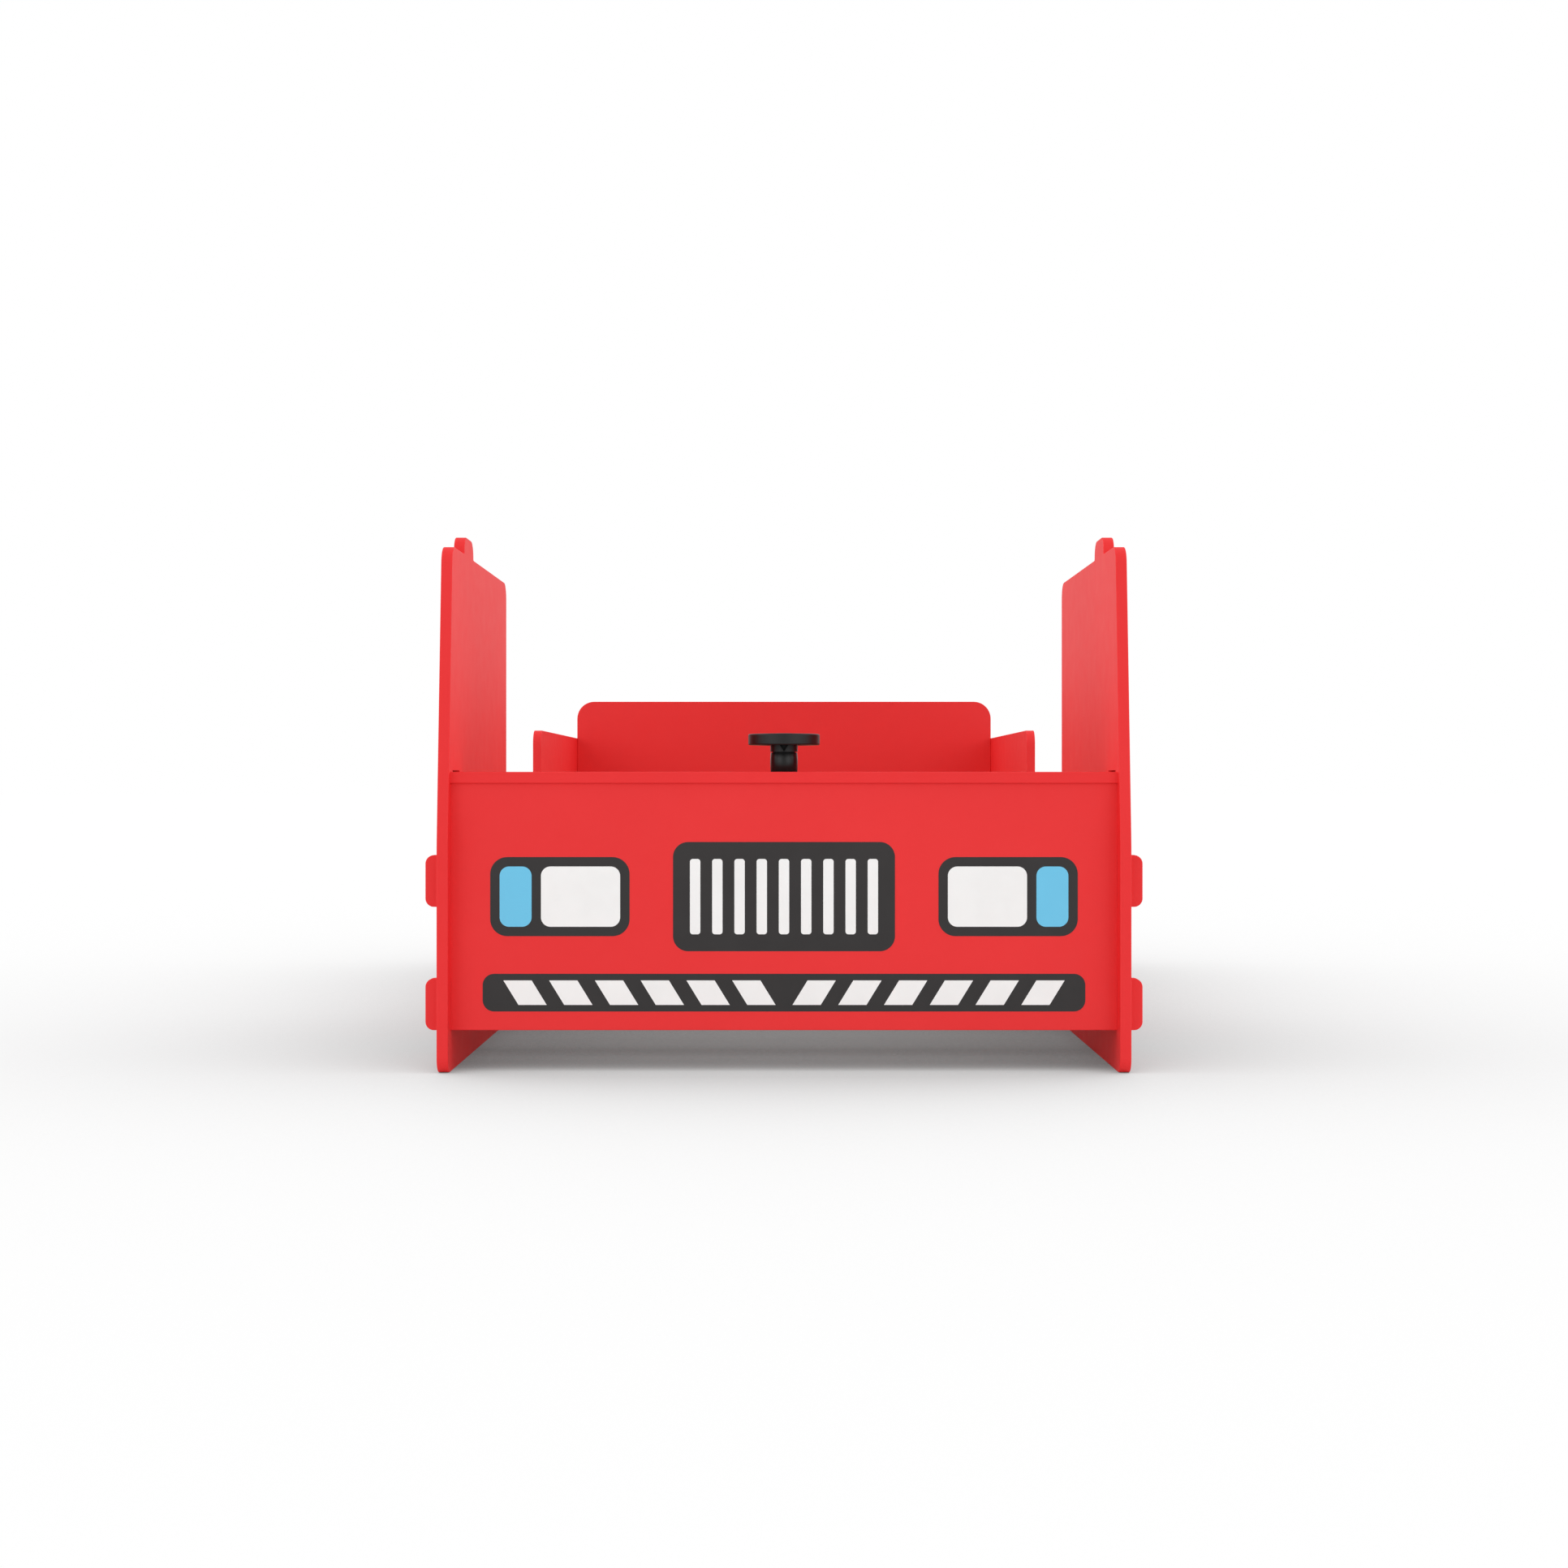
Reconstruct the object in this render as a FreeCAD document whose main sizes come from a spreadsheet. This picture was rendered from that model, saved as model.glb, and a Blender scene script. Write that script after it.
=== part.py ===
import FreeCAD, Part
import math
import os
from types import SimpleNamespace

import Sketcher

# A slot-together toddler bed cut from board in the shape of a small fire engine.
# Frame: millimetres, +Z up, the cab at the -Y end, the headboard at the +Y end, +X to the right of
# somebody who stands before the cab and looks along +Y. The origin is on the floor, in the middle.

SIZES = [
    # Plan of the bed
    ("board", 12.0, "thickness of every painted panel"),
    ("inner_width", 708.0, "between the inner faces of the side panels"),
    ("bed_length", 1404.0, "between the front panel and the headboard"),
    ("front_setback", 20.0, "from the sides' front edge to the front panel"),
    ("rear_setback", 20.0, "from the headboard to the sides' rear edge"),
    ("edge_round", 1.0, "round-over of the painted edges"),
    # Side panels, heights above the floor and lengths from the front edge
    ("roof_height", 560.5, "cab roof"),
    ("rake_start", 242.0, "height where the windscreen edge begins to lean back"),
    ("rake_share", 0.1036, "how far the windscreen edge leans back, as a share of its height"),
    ("rake_bend", 250.0, "radius of the bend into the windscreen edge"),
    ("roof_corner", 20.0, "corner radius of the cab roof"),
    ("foot_corner", 16.0, "corner radius at the floor"),
    ("beacon_start", 120.5, "front of the beacon bump"),
    ("beacon_length", 69.5, "length of the beacon bump"),
    ("beacon_height", 20.0, "height of the beacon bump over the roof"),
    ("beacon_corner", 17.0, "corner radius of the beacon bump"),
    ("beacon_root", 2.5, "radius at the foot of the beacon bump"),
    ("cab_length", 484.0, "rear edge of the cab"),
    ("entry_height", 280.0, "top of the low stretch that a child steps over"),
    ("entry_corner_share", 0.385, "hollow corner radius, as a share of the step up to the rear part"),
    ("rear_start", 881.0, "front edge of the raised rear part"),
    ("rear_height", 384.0, "top of the raised rear part"),
    ("rear_corner_share", 0.192, "corner radius of the rear part, as a share of the same step"),
    # Front panel, headboard and their tabs
    ("panel_bottom", 44.0, "underside of the front panel and the headboard"),
    ("shelf_bottom", 306.5, "top edge of the front panel, where the shelf lies"),
    ("head_height", 446.5, "top of the headboard"),
    ("head_corner", 29.0, "corner radius of the headboard"),
    ("tab_height", 55.0, "height of one through-tab"),
    ("tab_step", 131.0, "from the foot of the lower tab to the foot of the upper one"),
    ("tab_proud", 15.0, "how far the tabs stand out of the sides"),
    ("tab_corner", 9.0, "corner radius of the tabs"),
    ("slot_play", 0.3, "clearance round a tab in its slot"),
    # Dashboard shelf
    ("shelf_front", 15.5, "from the sides' front edge to the shelf's front edge"),
    ("shelf_depth", 86.0, "depth of the shelf"),
    ("shelf_tab", 50.0, "length of the shelf's end tabs"),
    ("shelf_headroom", 1.8, "gap above the shelf's tab in its slot"),
    # Wood screws
    ("screw_radius", 2.0, "shank radius"),
    ("screw_head_radius", 4.0, "head radius"),
    ("screw_head_depth", 2.0, "depth of the countersunk head"),
    ("screw_tip", 3.0, "length of the point"),
    ("screw_play", 0.1, "clearance round a screw"),
    ("pilot_rest", 0.5, "depth of a pilot hole past the screw's point"),
    ("head_angle", 90.0, "included angle of a countersunk head, in degrees"),
    # Corner blocks
    ("block_width", 25.0, "width of a corner block both ways"),
    ("block_height", 90.0, "height of a corner block"),
    ("block_round", 3.0, "rounded inner edge of a corner block"),
    ("block_screw", 32.0, "length of a corner block's screws"),
    ("block_screw_low", 18.0, "lower screw into the side, above the block's foot"),
    ("block_screw_shift", 18.0, "how much higher the screw into the end panel sits"),
    ("block_screw_pitch", 38.0, "from the lower screw of a pair to the upper one"),
    # Slat rails
    ("rail_width", 20.0, "width of a slat rail"),
    ("rail_height", 40.0, "height of a slat rail"),
    ("rail_top", 140.0, "height of the rails' top above the floor"),
    ("rail_gap", 0.5, "gap between a rail's end and the corner block"),
    ("rail_round", 2.0, "rounded inner edges of a rail"),
    ("rail_screw", 29.0, "length of a rail's screws"),
    ("rail_screw_margin", 60.0, "from a rail's end to its first screw"),
    ("rail_screw_height", 13.0, "height of the rail's screws above its underside"),
    # Slats
    ("slat_width", 70.0, "width of a slat"),
    ("slat_thickness", 12.0, "thickness of a slat"),
    ("slat_end_gap", 1.0, "gap between a slat's end and the side panel"),
    ("slat_margin", 20.0, "from the end panels to the nearest slat"),
    ("slat_round", 2.5, "rounded long edges of a slat"),
    ("slat_screw", 28.0, "length of a slat's screws"),
    # Steering column, wheel and what holds them
    ("column_height", 21.0, "height of the column over the shelf"),
    ("column_base_radius", 14.4, "radius of the column's foot"),
    ("column_top_radius", 14.3, "radius of the column's head"),
    ("column_swell", 100.0, "radius of the swelling curve of the column's side"),
    ("column_screw", 21.0, "length of the column's screws"),
    ("column_screw_offset", 9.0, "from the column's axis to its screws"),
    ("spacer_radius", 12.0, "radius of the washer between column and hub"),
    ("spacer_thickness", 0.8, "thickness of the washer between column and hub"),
    ("collar_height", 7.2, "height of the hub's collar below the wheel"),
    ("hub_radius", 14.8, "radius of the wheel's hub"),
    ("wheel_radius", 38.6, "outer radius of the wheel"),
    ("rim_width", 10.6, "width of the wheel's rim"),
    ("wheel_thickness", 12.0, "thickness of the wheel's rim"),
    ("wheel_round", 1.6, "rounded edges of the wheel's rim"),
    ("spoke_width", 11.0, "width of a spoke"),
    ("spoke_inset", 2.0, "how far a spoke lies inside the rim's faces"),
    ("notch_width", 9.0, "width of the three notches in the hub's collar"),
    ("notch_depth", 4.0, "how deep the notches reach into the collar"),
    ("recess_radius", 11.0, "radius of the hub's recess"),
    ("recess_depth", 6.5, "depth of the hub's recess"),
    ("cap_play", 0.1, "clearance round the hub cap"),
    ("cap_thickness", 2.2, "thickness of the hub cap"),
    ("cap_crown", 0.8, "crown of the hub cap"),
    ("cap_bevel", 2.0, "sloping margin of the hub cap"),
    ("bolt_radius", 3.0, "shank radius of the pivot bolt"),
    ("bolt_play", 0.06, "running clearance of the hub on the bolt"),
    ("bolt_clearance", 0.3, "clearance of the bolt in the column and the shelf"),
    ("bolt_head_radius", 5.2, "head radius of the pivot bolt"),
    ("bolt_head_height", 2.5, "head height of the pivot bolt"),
    ("bolt_head_flat", 3.4, "radius of the flat on top of the bolt's head"),
    ("bolt_end", 2.0, "length of bolt past the lock nut"),
    ("washer_radius", 8.0, "radius of the washer under the bolt's head"),
    ("washer_thickness", 0.8, "thickness of the washer under the bolt's head"),
    ("head_play", 0.2, "play of the wheel between its washers"),
    ("shelf_washer_radius", 9.0, "radius of the washer under the shelf"),
    ("shelf_washer_thickness", 1.4, "thickness of the washer under the shelf"),
    ("nut_corner_radius", 5.77, "radius of the lock nut over its corners"),
    ("nut_height", 6.0, "height of the lock nut"),
    ("nut_play", 0.05, "clearance of the nut on the bolt"),
    # Cut vinyl on the front panel
    ("vinyl", 0.2, "thickness of one layer of vinyl"),
    ("bumper_lift", 20.0, "from the front panel's underside to the bumper band"),
    ("bumper_side", 34.0, "from the side panels to the bumper band"),
    ("bumper_height", 40.0, "height of the bumper band"),
    ("bumper_corner", 12.0, "corner radius of the bumper band"),
    ("bumper_edge", 7.0, "dark margin above and below the bumper's blocks"),
    ("bumper_block", 30.0, "length of a slanted white block"),
    ("bumper_lean", 16.0, "how far a block leans over its height"),
    ("bumper_middle", 9.0, "from the middle of the bumper to its first blocks"),
    ("bumper_margin", 22.0, "from the last blocks to the bumper's end"),
    ("grille_share", 0.333, "width of the grille, as a share of the bed's inner width"),
    ("grille_lift", 24.0, "from the bumper band to the grille"),
    ("grille_drop", 62.5, "from the shelf down to the grille"),
    ("grille_corner", 16.0, "corner radius of the grille"),
    ("grille_frame", 18.0, "margin between the grille's edge and its bars"),
    ("grille_bar", 11.0, "width of a bar of the grille"),
    ("grille_bar_corner", 3.0, "corner radius of a bar"),
    ("lamp_side", 42.0, "from the side panels to a headlamp unit"),
    ("lamp_share", 0.209, "width of a headlamp unit, as a share of the bed's inner width"),
    ("lamp_height_share", 0.724, "height of a headlamp unit, as a share of the grille's"),
    ("lamp_corner", 18.0, "corner radius of a headlamp unit"),
    ("lamp_frame", 10.0, "dark margin round the lenses"),
    ("lens_share", 0.568, "width of the white lens, as a share of the headlamp unit's"),
    ("lens_corner", 10.0, "corner radius of the lenses"),
    # Cut vinyl on the outer faces of the sides
    ("stripe_drop", 22.0, "from the low stretch's top down to the stripe"),
    ("stripe_height", 16.0, "height of the stripe"),
    ("stripe_margin", 42.0, "from the sides' ends to the stripe"),
    ("tyre_lift", 10.0, "from the floor to the tyres"),
    ("tyre_gap", 16.0, "from the tyres to the stripe"),
    ("front_tyre_share", 0.517, "place of the front wheel, as a share of the cab's length"),
    ("rear_tyre_share", 0.537, "place of the rear wheel, as a share of the rear part's length"),
    ("rim_share", 0.574, "radius of a wheel's pale middle, as a share of the tyre's"),
    ("lug_circle_share", 0.352, "radius of the ring of round openings, as a share of the tyre's"),
    ("lug_share", 0.083, "radius of a round opening, as a share of the tyre's"),
    ("window_front", 62.0, "from the sides' front edge to the foot of the side window"),
    ("window_rear", 54.0, "from the side window to the cab's rear edge"),
    ("window_foot_share", 0.265, "the window's foot, as a share of the way from the stripe to the roof"),
    ("window_drop", 42.5, "from the roof down to the side window"),
    ("window_corner", 18.0, "corner radius of the side window"),
    ("window_frame", 9.0, "width of the dark line round the glass"),
    ("ladder_front", 29.0, "from the rear part's front edge to the ladder"),
    ("ladder_rear", 52.0, "from the ladder to the sides' rear edge"),
    ("ladder_foot_share", 0.222, "the ladder's foot, as a share of the way from the stripe to the top"),
    ("ladder_share", 0.524, "height of the ladder, as a share of the same way"),
    ("ladder_rail", 10.0, "width of a ladder rail"),
    ("ladder_rung", 9.0, "width of a rung"),
    ("ladder_corner", 4.0, "corner radius of the ladder"),
    ("beacon_inset", 5.0, "margin round the blue of the beacon"),
]

SLATS = 13
RAIL_SCREWS = 5
SPOKES = 3
GRILLE_BARS = 9
BUMPER_BLOCKS = 6
LUGS = 5
RUNGS = 10
NUT_SIDES = 6
FULL_TURN = 360

# Two points nearer than this are taken for one when edges are picked.
NEAR = 0.01

# The two axes of a body that its origin planes lie in, in the order of a sketch's own axes.
PLANE_AXES = {"XY_Plane": ("X", "Y"), "XZ_Plane": ("X", "Z"), "YZ_Plane": ("Y", "Z")}

LEFT = -1
RIGHT = 1


class Size:
    """A length in millimetres with the spreadsheet expression that gives it."""

    def __init__(self, value, text):
        self.value = value
        self.text = text

    def __add__(self, other):
        return Size(self.value + other.value, f"({self.text} + {other.text})")

    def __sub__(self, other):
        return Size(self.value - other.value, f"({self.text} - {other.text})")

    def __neg__(self):
        return Size(-self.value, f"(0 - {self.text})")

    def __mul__(self, factor):
        if isinstance(factor, Size):
            return Size(self.value * factor.value, f"({self.text} * {factor.text})")
        return Size(self.value * factor, f"({self.text} * {factor})")

    def __truediv__(self, count):
        return Size(self.value / count, f"({self.text} / {count})")


ZERO = Size(0.0, "0")

doc = FreeCAD.newDocument("FireEngineBed")
sheet = doc.addObject("Spreadsheet::Sheet", "Sizes")
size = SimpleNamespace()
for row, (alias, value, note) in enumerate(SIZES, 1):
    sheet.set(f"A{row}", note)
    sheet.set(f"B{row}", str(value))
    sheet.setAlias(f"B{row}", alias)
    setattr(size, alias, Size(value, f"Sizes.{alias}"))
doc.recompute()

# Places that several pieces share, lengths measured back from the sides' front edge.
side_length = size.front_setback + size.board + size.bed_length + size.board + size.rear_setback
front_plane = -(side_length / 2)
deck_front = size.front_setback + size.board
head_front = deck_front + size.bed_length
half_inner = size.inner_width / 2
half_outer = half_inner + size.board
tab_reach = size.board + size.tab_proud
shelf_top = size.shelf_bottom + size.board
shelf_tab_start = size.shelf_front + (size.shelf_depth - size.shelf_tab) / 2
wheel_back = size.shelf_front + size.shelf_depth / 2
slat_pitch = (size.bed_length - size.slat_margin * 2 - size.slat_width) / (SLATS - 1)
first_slat_middle = size.slat_margin + size.slat_width / 2
rail_start = size.block_width + size.rail_gap
rail_length = size.bed_length - rail_start * 2
rail_bottom = size.rail_top - size.rail_height
rail_screw_step = (rail_length - size.rail_screw_margin * 2) / (RAIL_SCREWS - 1)
rear_step = size.rear_height - size.entry_height
stripe_foot = size.entry_height - size.stripe_drop - size.stripe_height
stripe_top = stripe_foot + size.stripe_height
block_bottom = size.rail_top - size.block_height
hole_radius = size.screw_radius + size.screw_play
column_top = shelf_top + size.column_height
wheel_bottom = column_top + size.spacer_thickness + size.collar_height

parts = []


def new_body(name):
    """An empty body that becomes one piece of the bed."""
    body = doc.addObject("PartDesign::Body", name)
    body.Label = name
    parts.append(body)
    return body


def place(piece, x=ZERO, y=ZERO, z=ZERO):
    """Put a piece's own origin at a place of the bed."""
    for axis, length in (("x", x), ("y", y), ("z", z)):
        piece.setExpression(f"Placement.Base.{axis}", length.text)


def origin_feature(body, role):
    """One of the body's own origin planes or axes."""
    return next(feature for feature in body.Origin.OriginFeatures if feature.Role == role)


def new_sketch(body, plane, x=ZERO, y=ZERO, z=ZERO):
    """A sketch on one of the body's origin planes, moved along its own axes."""
    sketch = body.newObject("Sketcher::SketchObject", "Sketch")
    sketch.AttachmentSupport = [(origin_feature(body, plane), "")]
    sketch.MapMode = "FlatFace"
    for axis, length in (("x", x), ("y", y), ("z", z)):
        sketch.setExpression(f"AttachmentOffset.Base.{axis}", length.text)
    return sketch


def hold(sketch, curve, end, u, v):
    """Hold one point of a curve at its two distances from the sketch's origin."""
    if u.value == 0 and v.value == 0:
        sketch.addConstraint(Sketcher.Constraint("Coincident", curve, end, -1, 1))
        return
    for kind, axis, length in (("DistanceX", -2, u), ("DistanceY", -1, v)):
        if length.value == 0:
            sketch.addConstraint(Sketcher.Constraint("PointOnObject", curve, end, axis))
        elif length.value > 0:
            index = sketch.addConstraint(Sketcher.Constraint(kind, -1, 1, curve, end, length.value))
            sketch.setExpression(f"Constraints[{index}]", length.text)
        else:
            index = sketch.addConstraint(Sketcher.Constraint(kind, curve, end, -1, 1, -length.value))
            sketch.setExpression(f"Constraints[{index}]", (-length).text)


def spot(u, v):
    """A point of a sketch."""
    return FreeCAD.Vector(u.value, v.value, 0)


def outline(sketch, corners):
    """Draw straight lines from corner to corner and back to the first."""
    first = sketch.GeometryCount
    for here, there in zip(corners, corners[1:] + corners[:1]):
        sketch.addGeometry(Part.LineSegment(spot(*here), spot(*there)), False)
    for step, corner in enumerate(corners):
        last = first + (step - 1) % len(corners)
        sketch.addConstraint(Sketcher.Constraint("Coincident", last, 2, first + step, 1))
        hold(sketch, first + step, 1, *corner)


def rectangle(sketch, left, bottom, right, top):
    """Draw a rectangle between two corners."""
    outline(sketch, [(left, bottom), (right, bottom), (right, top), (left, top)])


def circle(sketch, u, v, radius):
    """Draw a circle about a point."""
    ring = Part.Circle(spot(u, v), FreeCAD.Vector(0, 0, 1), radius.value)
    curve = sketch.addGeometry(ring, False)
    index = sketch.addConstraint(Sketcher.Constraint("Radius", curve, radius.value))
    sketch.setExpression(f"Constraints[{index}]", radius.text)
    hold(sketch, curve, 3, u, v)


def pad(body, sketch, length, backward=False):
    """Raise a sketch into a solid, along the plane's normal or against it."""
    feature = body.newObject("PartDesign::Pad", "Pad")
    feature.Profile = sketch
    feature.Reversed = backward
    feature.setExpression("Length", length.text)
    doc.recompute()
    return feature


def cut(body, sketch, depth=None, along_normal=False):
    """Cut a sketch out of the body, to a depth or right through, against the plane's normal."""
    before = body.Tip.Shape.Volume
    feature = body.newObject("PartDesign::Pocket", "Cut")
    feature.Profile = sketch
    feature.Reversed = along_normal
    if depth is None:
        feature.Type = "ThroughAll"
    else:
        feature.setExpression("Length", depth.text)
    doc.recompute()
    if feature.Shape.Volume >= before:
        raise ValueError(f"a cut in {body.Label} takes nothing away")
    return feature


def revolve(body, sketch, axis):
    """Turn a profile about one of its sketch's own axes."""
    feature = body.newObject("PartDesign::Revolution", "Turned")
    feature.Profile = sketch
    feature.ReferenceAxis = (sketch, [axis])
    doc.recompute()
    return feature


def drill(body, plane, centres, offset=ZERO, along_normal=False):
    """Countersunk through holes for wood screws, from the sketch's plane."""
    before = body.Tip.Shape.Volume
    sketch = new_sketch(body, plane, z=offset)
    for centre in centres:
        circle(sketch, *centre, hole_radius)
    doc.recompute()
    feature = body.newObject("PartDesign::Hole", "Screw_hole")
    feature.Profile = sketch
    doc.recompute()
    feature.Reversed = along_normal
    feature.DepthType = "ThroughAll"
    feature.HoleCutType = "Countersink"
    feature.HoleCutCustomValues = True
    feature.setExpression("Diameter", (hole_radius * 2).text)
    feature.setExpression("HoleCutDiameter", ((size.screw_head_radius + size.screw_play) * 2).text)
    feature.setExpression("HoleCutCountersinkAngle", size.head_angle.text)
    doc.recompute()
    if feature.Shape.Volume >= before:
        raise ValueError(f"a screw hole in {body.Label} takes nothing away")


def pilot(body, plane, centres, depth, offset=ZERO, along_normal=False):
    """Blind holes for the ends of wood screws, from the sketch's plane."""
    sketch = new_sketch(body, plane, z=offset)
    for centre in centres:
        circle(sketch, *centre, hole_radius)
    cut(body, sketch, depth + size.pilot_rest, along_normal)


def round_edges(body, radius, chosen):
    """Round the edges of the body's newest shape that pass a test."""
    base = body.Tip
    edges = [f"Edge{place}" for place, edge in enumerate(base.Shape.Edges, 1) if chosen(edge)]
    if not edges:
        raise ValueError(f"no edge to round in {body.Label}")
    feature = body.newObject("PartDesign::Fillet", "Round")
    feature.Base = (base, edges)
    feature.setExpression("Radius", radius.text)
    doc.recompute()


def lies_at(edge, axis, length):
    """Whether an edge lies at one place of an axis from end to end."""
    box = edge.BoundBox
    low = getattr(box, f"{axis}Min")
    high = getattr(box, f"{axis}Max")
    return abs(low - length.value) < NEAR and abs(high - length.value) < NEAR


def round_corners(body, plane, corners):
    """Round a plate's corners; a corner is its two distances and its radius, or None for sharp."""
    first, second = PLANE_AXES[plane]
    for radius in dict.fromkeys(corner[2] for corner in corners if corner[2]):
        spots = [corner[:2] for corner in corners if corner[2] is radius]
        round_edges(body, radius, lambda edge: any(
            lies_at(edge, first, u) and lies_at(edge, second, v) for u, v in spots))


def plate(body, plane, corners, thickness, backward=False):
    """Cut a plate to an outline of corners and round those corners."""
    sketch = new_sketch(body, plane)
    outline(sketch, [corner[:2] for corner in corners])
    pad(body, sketch, thickness, backward)
    round_corners(body, plane, corners)


def repeat(body, originals, steps):
    """Repeat features in rows or mirror them; a step is an axis, a length and a count, or a plane."""
    pattern = body.newObject("PartDesign::MultiTransform", "Repeat")
    pattern.Originals = originals
    moves = []
    for step in steps:
        if isinstance(step, str):
            move = body.newObject("PartDesign::Mirrored", "Mirror")
            move.MirrorPlane = (origin_feature(body, step), [""])
        else:
            axis, length, count = step
            move = body.newObject("PartDesign::LinearPattern", "Row")
            move.Direction = (origin_feature(body, axis), [""])
            move.setExpression("Length", length.text)
            move.Occurrences = count
        moves.append(move)
    pattern.Transformations = moves
    body.Tip = pattern
    doc.recompute()


def around(body, originals, count):
    """Repeat features evenly about the body's Z axis."""
    pattern = body.newObject("PartDesign::PolarPattern", "Ring")
    pattern.Originals = originals
    pattern.Axis = (origin_feature(body, "Z_Axis"), [""])
    pattern.Angle = FULL_TURN
    pattern.Occurrences = count
    body.Tip = pattern
    doc.recompute()


def side_name(stem, side):
    """A piece's name with its side of the bed."""
    return f"{stem}_{'left' if side == LEFT else 'right'}"


def rail_screw_spots():
    """Distances of the rail screws from the front of the deck."""
    first = rail_start + size.rail_screw_margin
    return [first + rail_screw_step * step for step in range(RAIL_SCREWS)]


def block_screw_heights(shift):
    """Heights of a corner block's two screws above its foot."""
    low = size.block_screw_low + shift
    return [low, low + size.block_screw_pitch]


def side_panel(side):
    """The cut-out side of the engine, with slots for the panels' tabs and pilot holes inside."""
    body = new_body(side_name("side_panel", side))
    beacon_end = size.beacon_start + size.beacon_length
    beacon_top = size.roof_height + size.beacon_height
    rake_setback = (size.roof_height - size.rake_start) * size.rake_share
    entry_corner = rear_step * size.entry_corner_share
    rear_corner = rear_step * size.rear_corner_share
    corners = [
        (ZERO, ZERO, size.foot_corner),
        (side_length, ZERO, size.foot_corner),
        (side_length, size.rear_height, rear_corner),
        (size.rear_start, size.rear_height, rear_corner),
        (size.rear_start, size.entry_height, entry_corner),
        (size.cab_length, size.entry_height, entry_corner),
        (size.cab_length, size.roof_height, size.roof_corner),
        (beacon_end, size.roof_height, size.beacon_root),
        (beacon_end, beacon_top, size.beacon_corner),
        (size.beacon_start, beacon_top, size.beacon_corner),
        (size.beacon_start, size.roof_height, size.beacon_root),
        (rake_setback, size.roof_height, size.roof_corner),
        (ZERO, size.rake_start, size.rake_bend),
    ]
    plate(body, "YZ_Plane", corners, size.board)
    round_edges(body, size.edge_round, lambda edge: (
        lies_at(edge, "X", ZERO) or lies_at(edge, "X", size.board)))

    slots = new_sketch(body, "YZ_Plane")
    for start in (size.front_setback, head_front):
        for foot in (size.panel_bottom, size.panel_bottom + size.tab_step):
            rectangle(slots, start - size.slot_play, foot - size.slot_play,
                      start + size.board + size.slot_play, foot + size.tab_height + size.slot_play)
    rectangle(slots, shelf_tab_start - size.slot_play, size.shelf_bottom,
              shelf_tab_start + size.shelf_tab + size.slot_play, shelf_top + size.shelf_headroom)
    cut(body, slots, along_normal=True)

    inner = ZERO if side == RIGHT else size.board
    rail_spots = [(deck_front + along, rail_bottom + size.rail_screw_height) for along in rail_screw_spots()]
    pilot(body, "YZ_Plane", rail_spots, size.rail_screw - size.rail_width, inner, side == RIGHT)
    block_spots = [(middle, block_bottom + height)
                   for middle in (deck_front + size.block_width / 2, head_front - size.block_width / 2)
                   for height in block_screw_heights(ZERO)]
    pilot(body, "YZ_Plane", block_spots, size.block_screw - size.block_width, inner, side == RIGHT)
    place(body, half_inner if side == RIGHT else -half_outer, front_plane)


def cross_panel(name, start, top, top_corner, front):
    """A panel across the bed with two through-tabs at each end."""
    body = new_body(name)
    left = tab_reach
    right = tab_reach + size.inner_width
    tip = right + tab_reach
    low = size.panel_bottom
    low_top = low + size.tab_height
    high = low + size.tab_step
    high_top = high + size.tab_height
    corners = [
        (ZERO, low, size.tab_corner),
        (tip, low, size.tab_corner),
        (tip, low_top, size.tab_corner),
        (right, low_top, None),
        (right, high, None),
        (tip, high, size.tab_corner),
        (tip, high_top, size.tab_corner),
        (right, high_top, None),
        (right, top, top_corner),
        (left, top, top_corner),
        (left, high_top, None),
        (ZERO, high_top, size.tab_corner),
        (ZERO, high, size.tab_corner),
        (left, high, None),
        (left, low_top, None),
        (ZERO, low_top, size.tab_corner),
    ]
    plate(body, "XZ_Plane", corners, size.board, backward=True)

    def is_open_edge(edge):
        on_face = lies_at(edge, "Y", ZERO) or lies_at(edge, "Y", size.board)
        at_shoulder = lies_at(edge, "X", left) or lies_at(edge, "X", right)
        under_shelf = lies_at(edge, "Z", size.shelf_bottom)
        return on_face and not at_shoulder and not under_shelf

    round_edges(body, size.edge_round, is_open_edge)

    block_middle = size.block_width / 2
    spots = [(across, block_bottom + height)
             for across in (left + block_middle, right - block_middle)
             for height in block_screw_heights(size.block_screw_shift)]
    inner = -size.board if front else ZERO
    pilot(body, "XZ_Plane", spots, size.block_screw - size.block_width, inner, along_normal=front)
    place(body, -(half_inner + tab_reach), front_plane + start)


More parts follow.
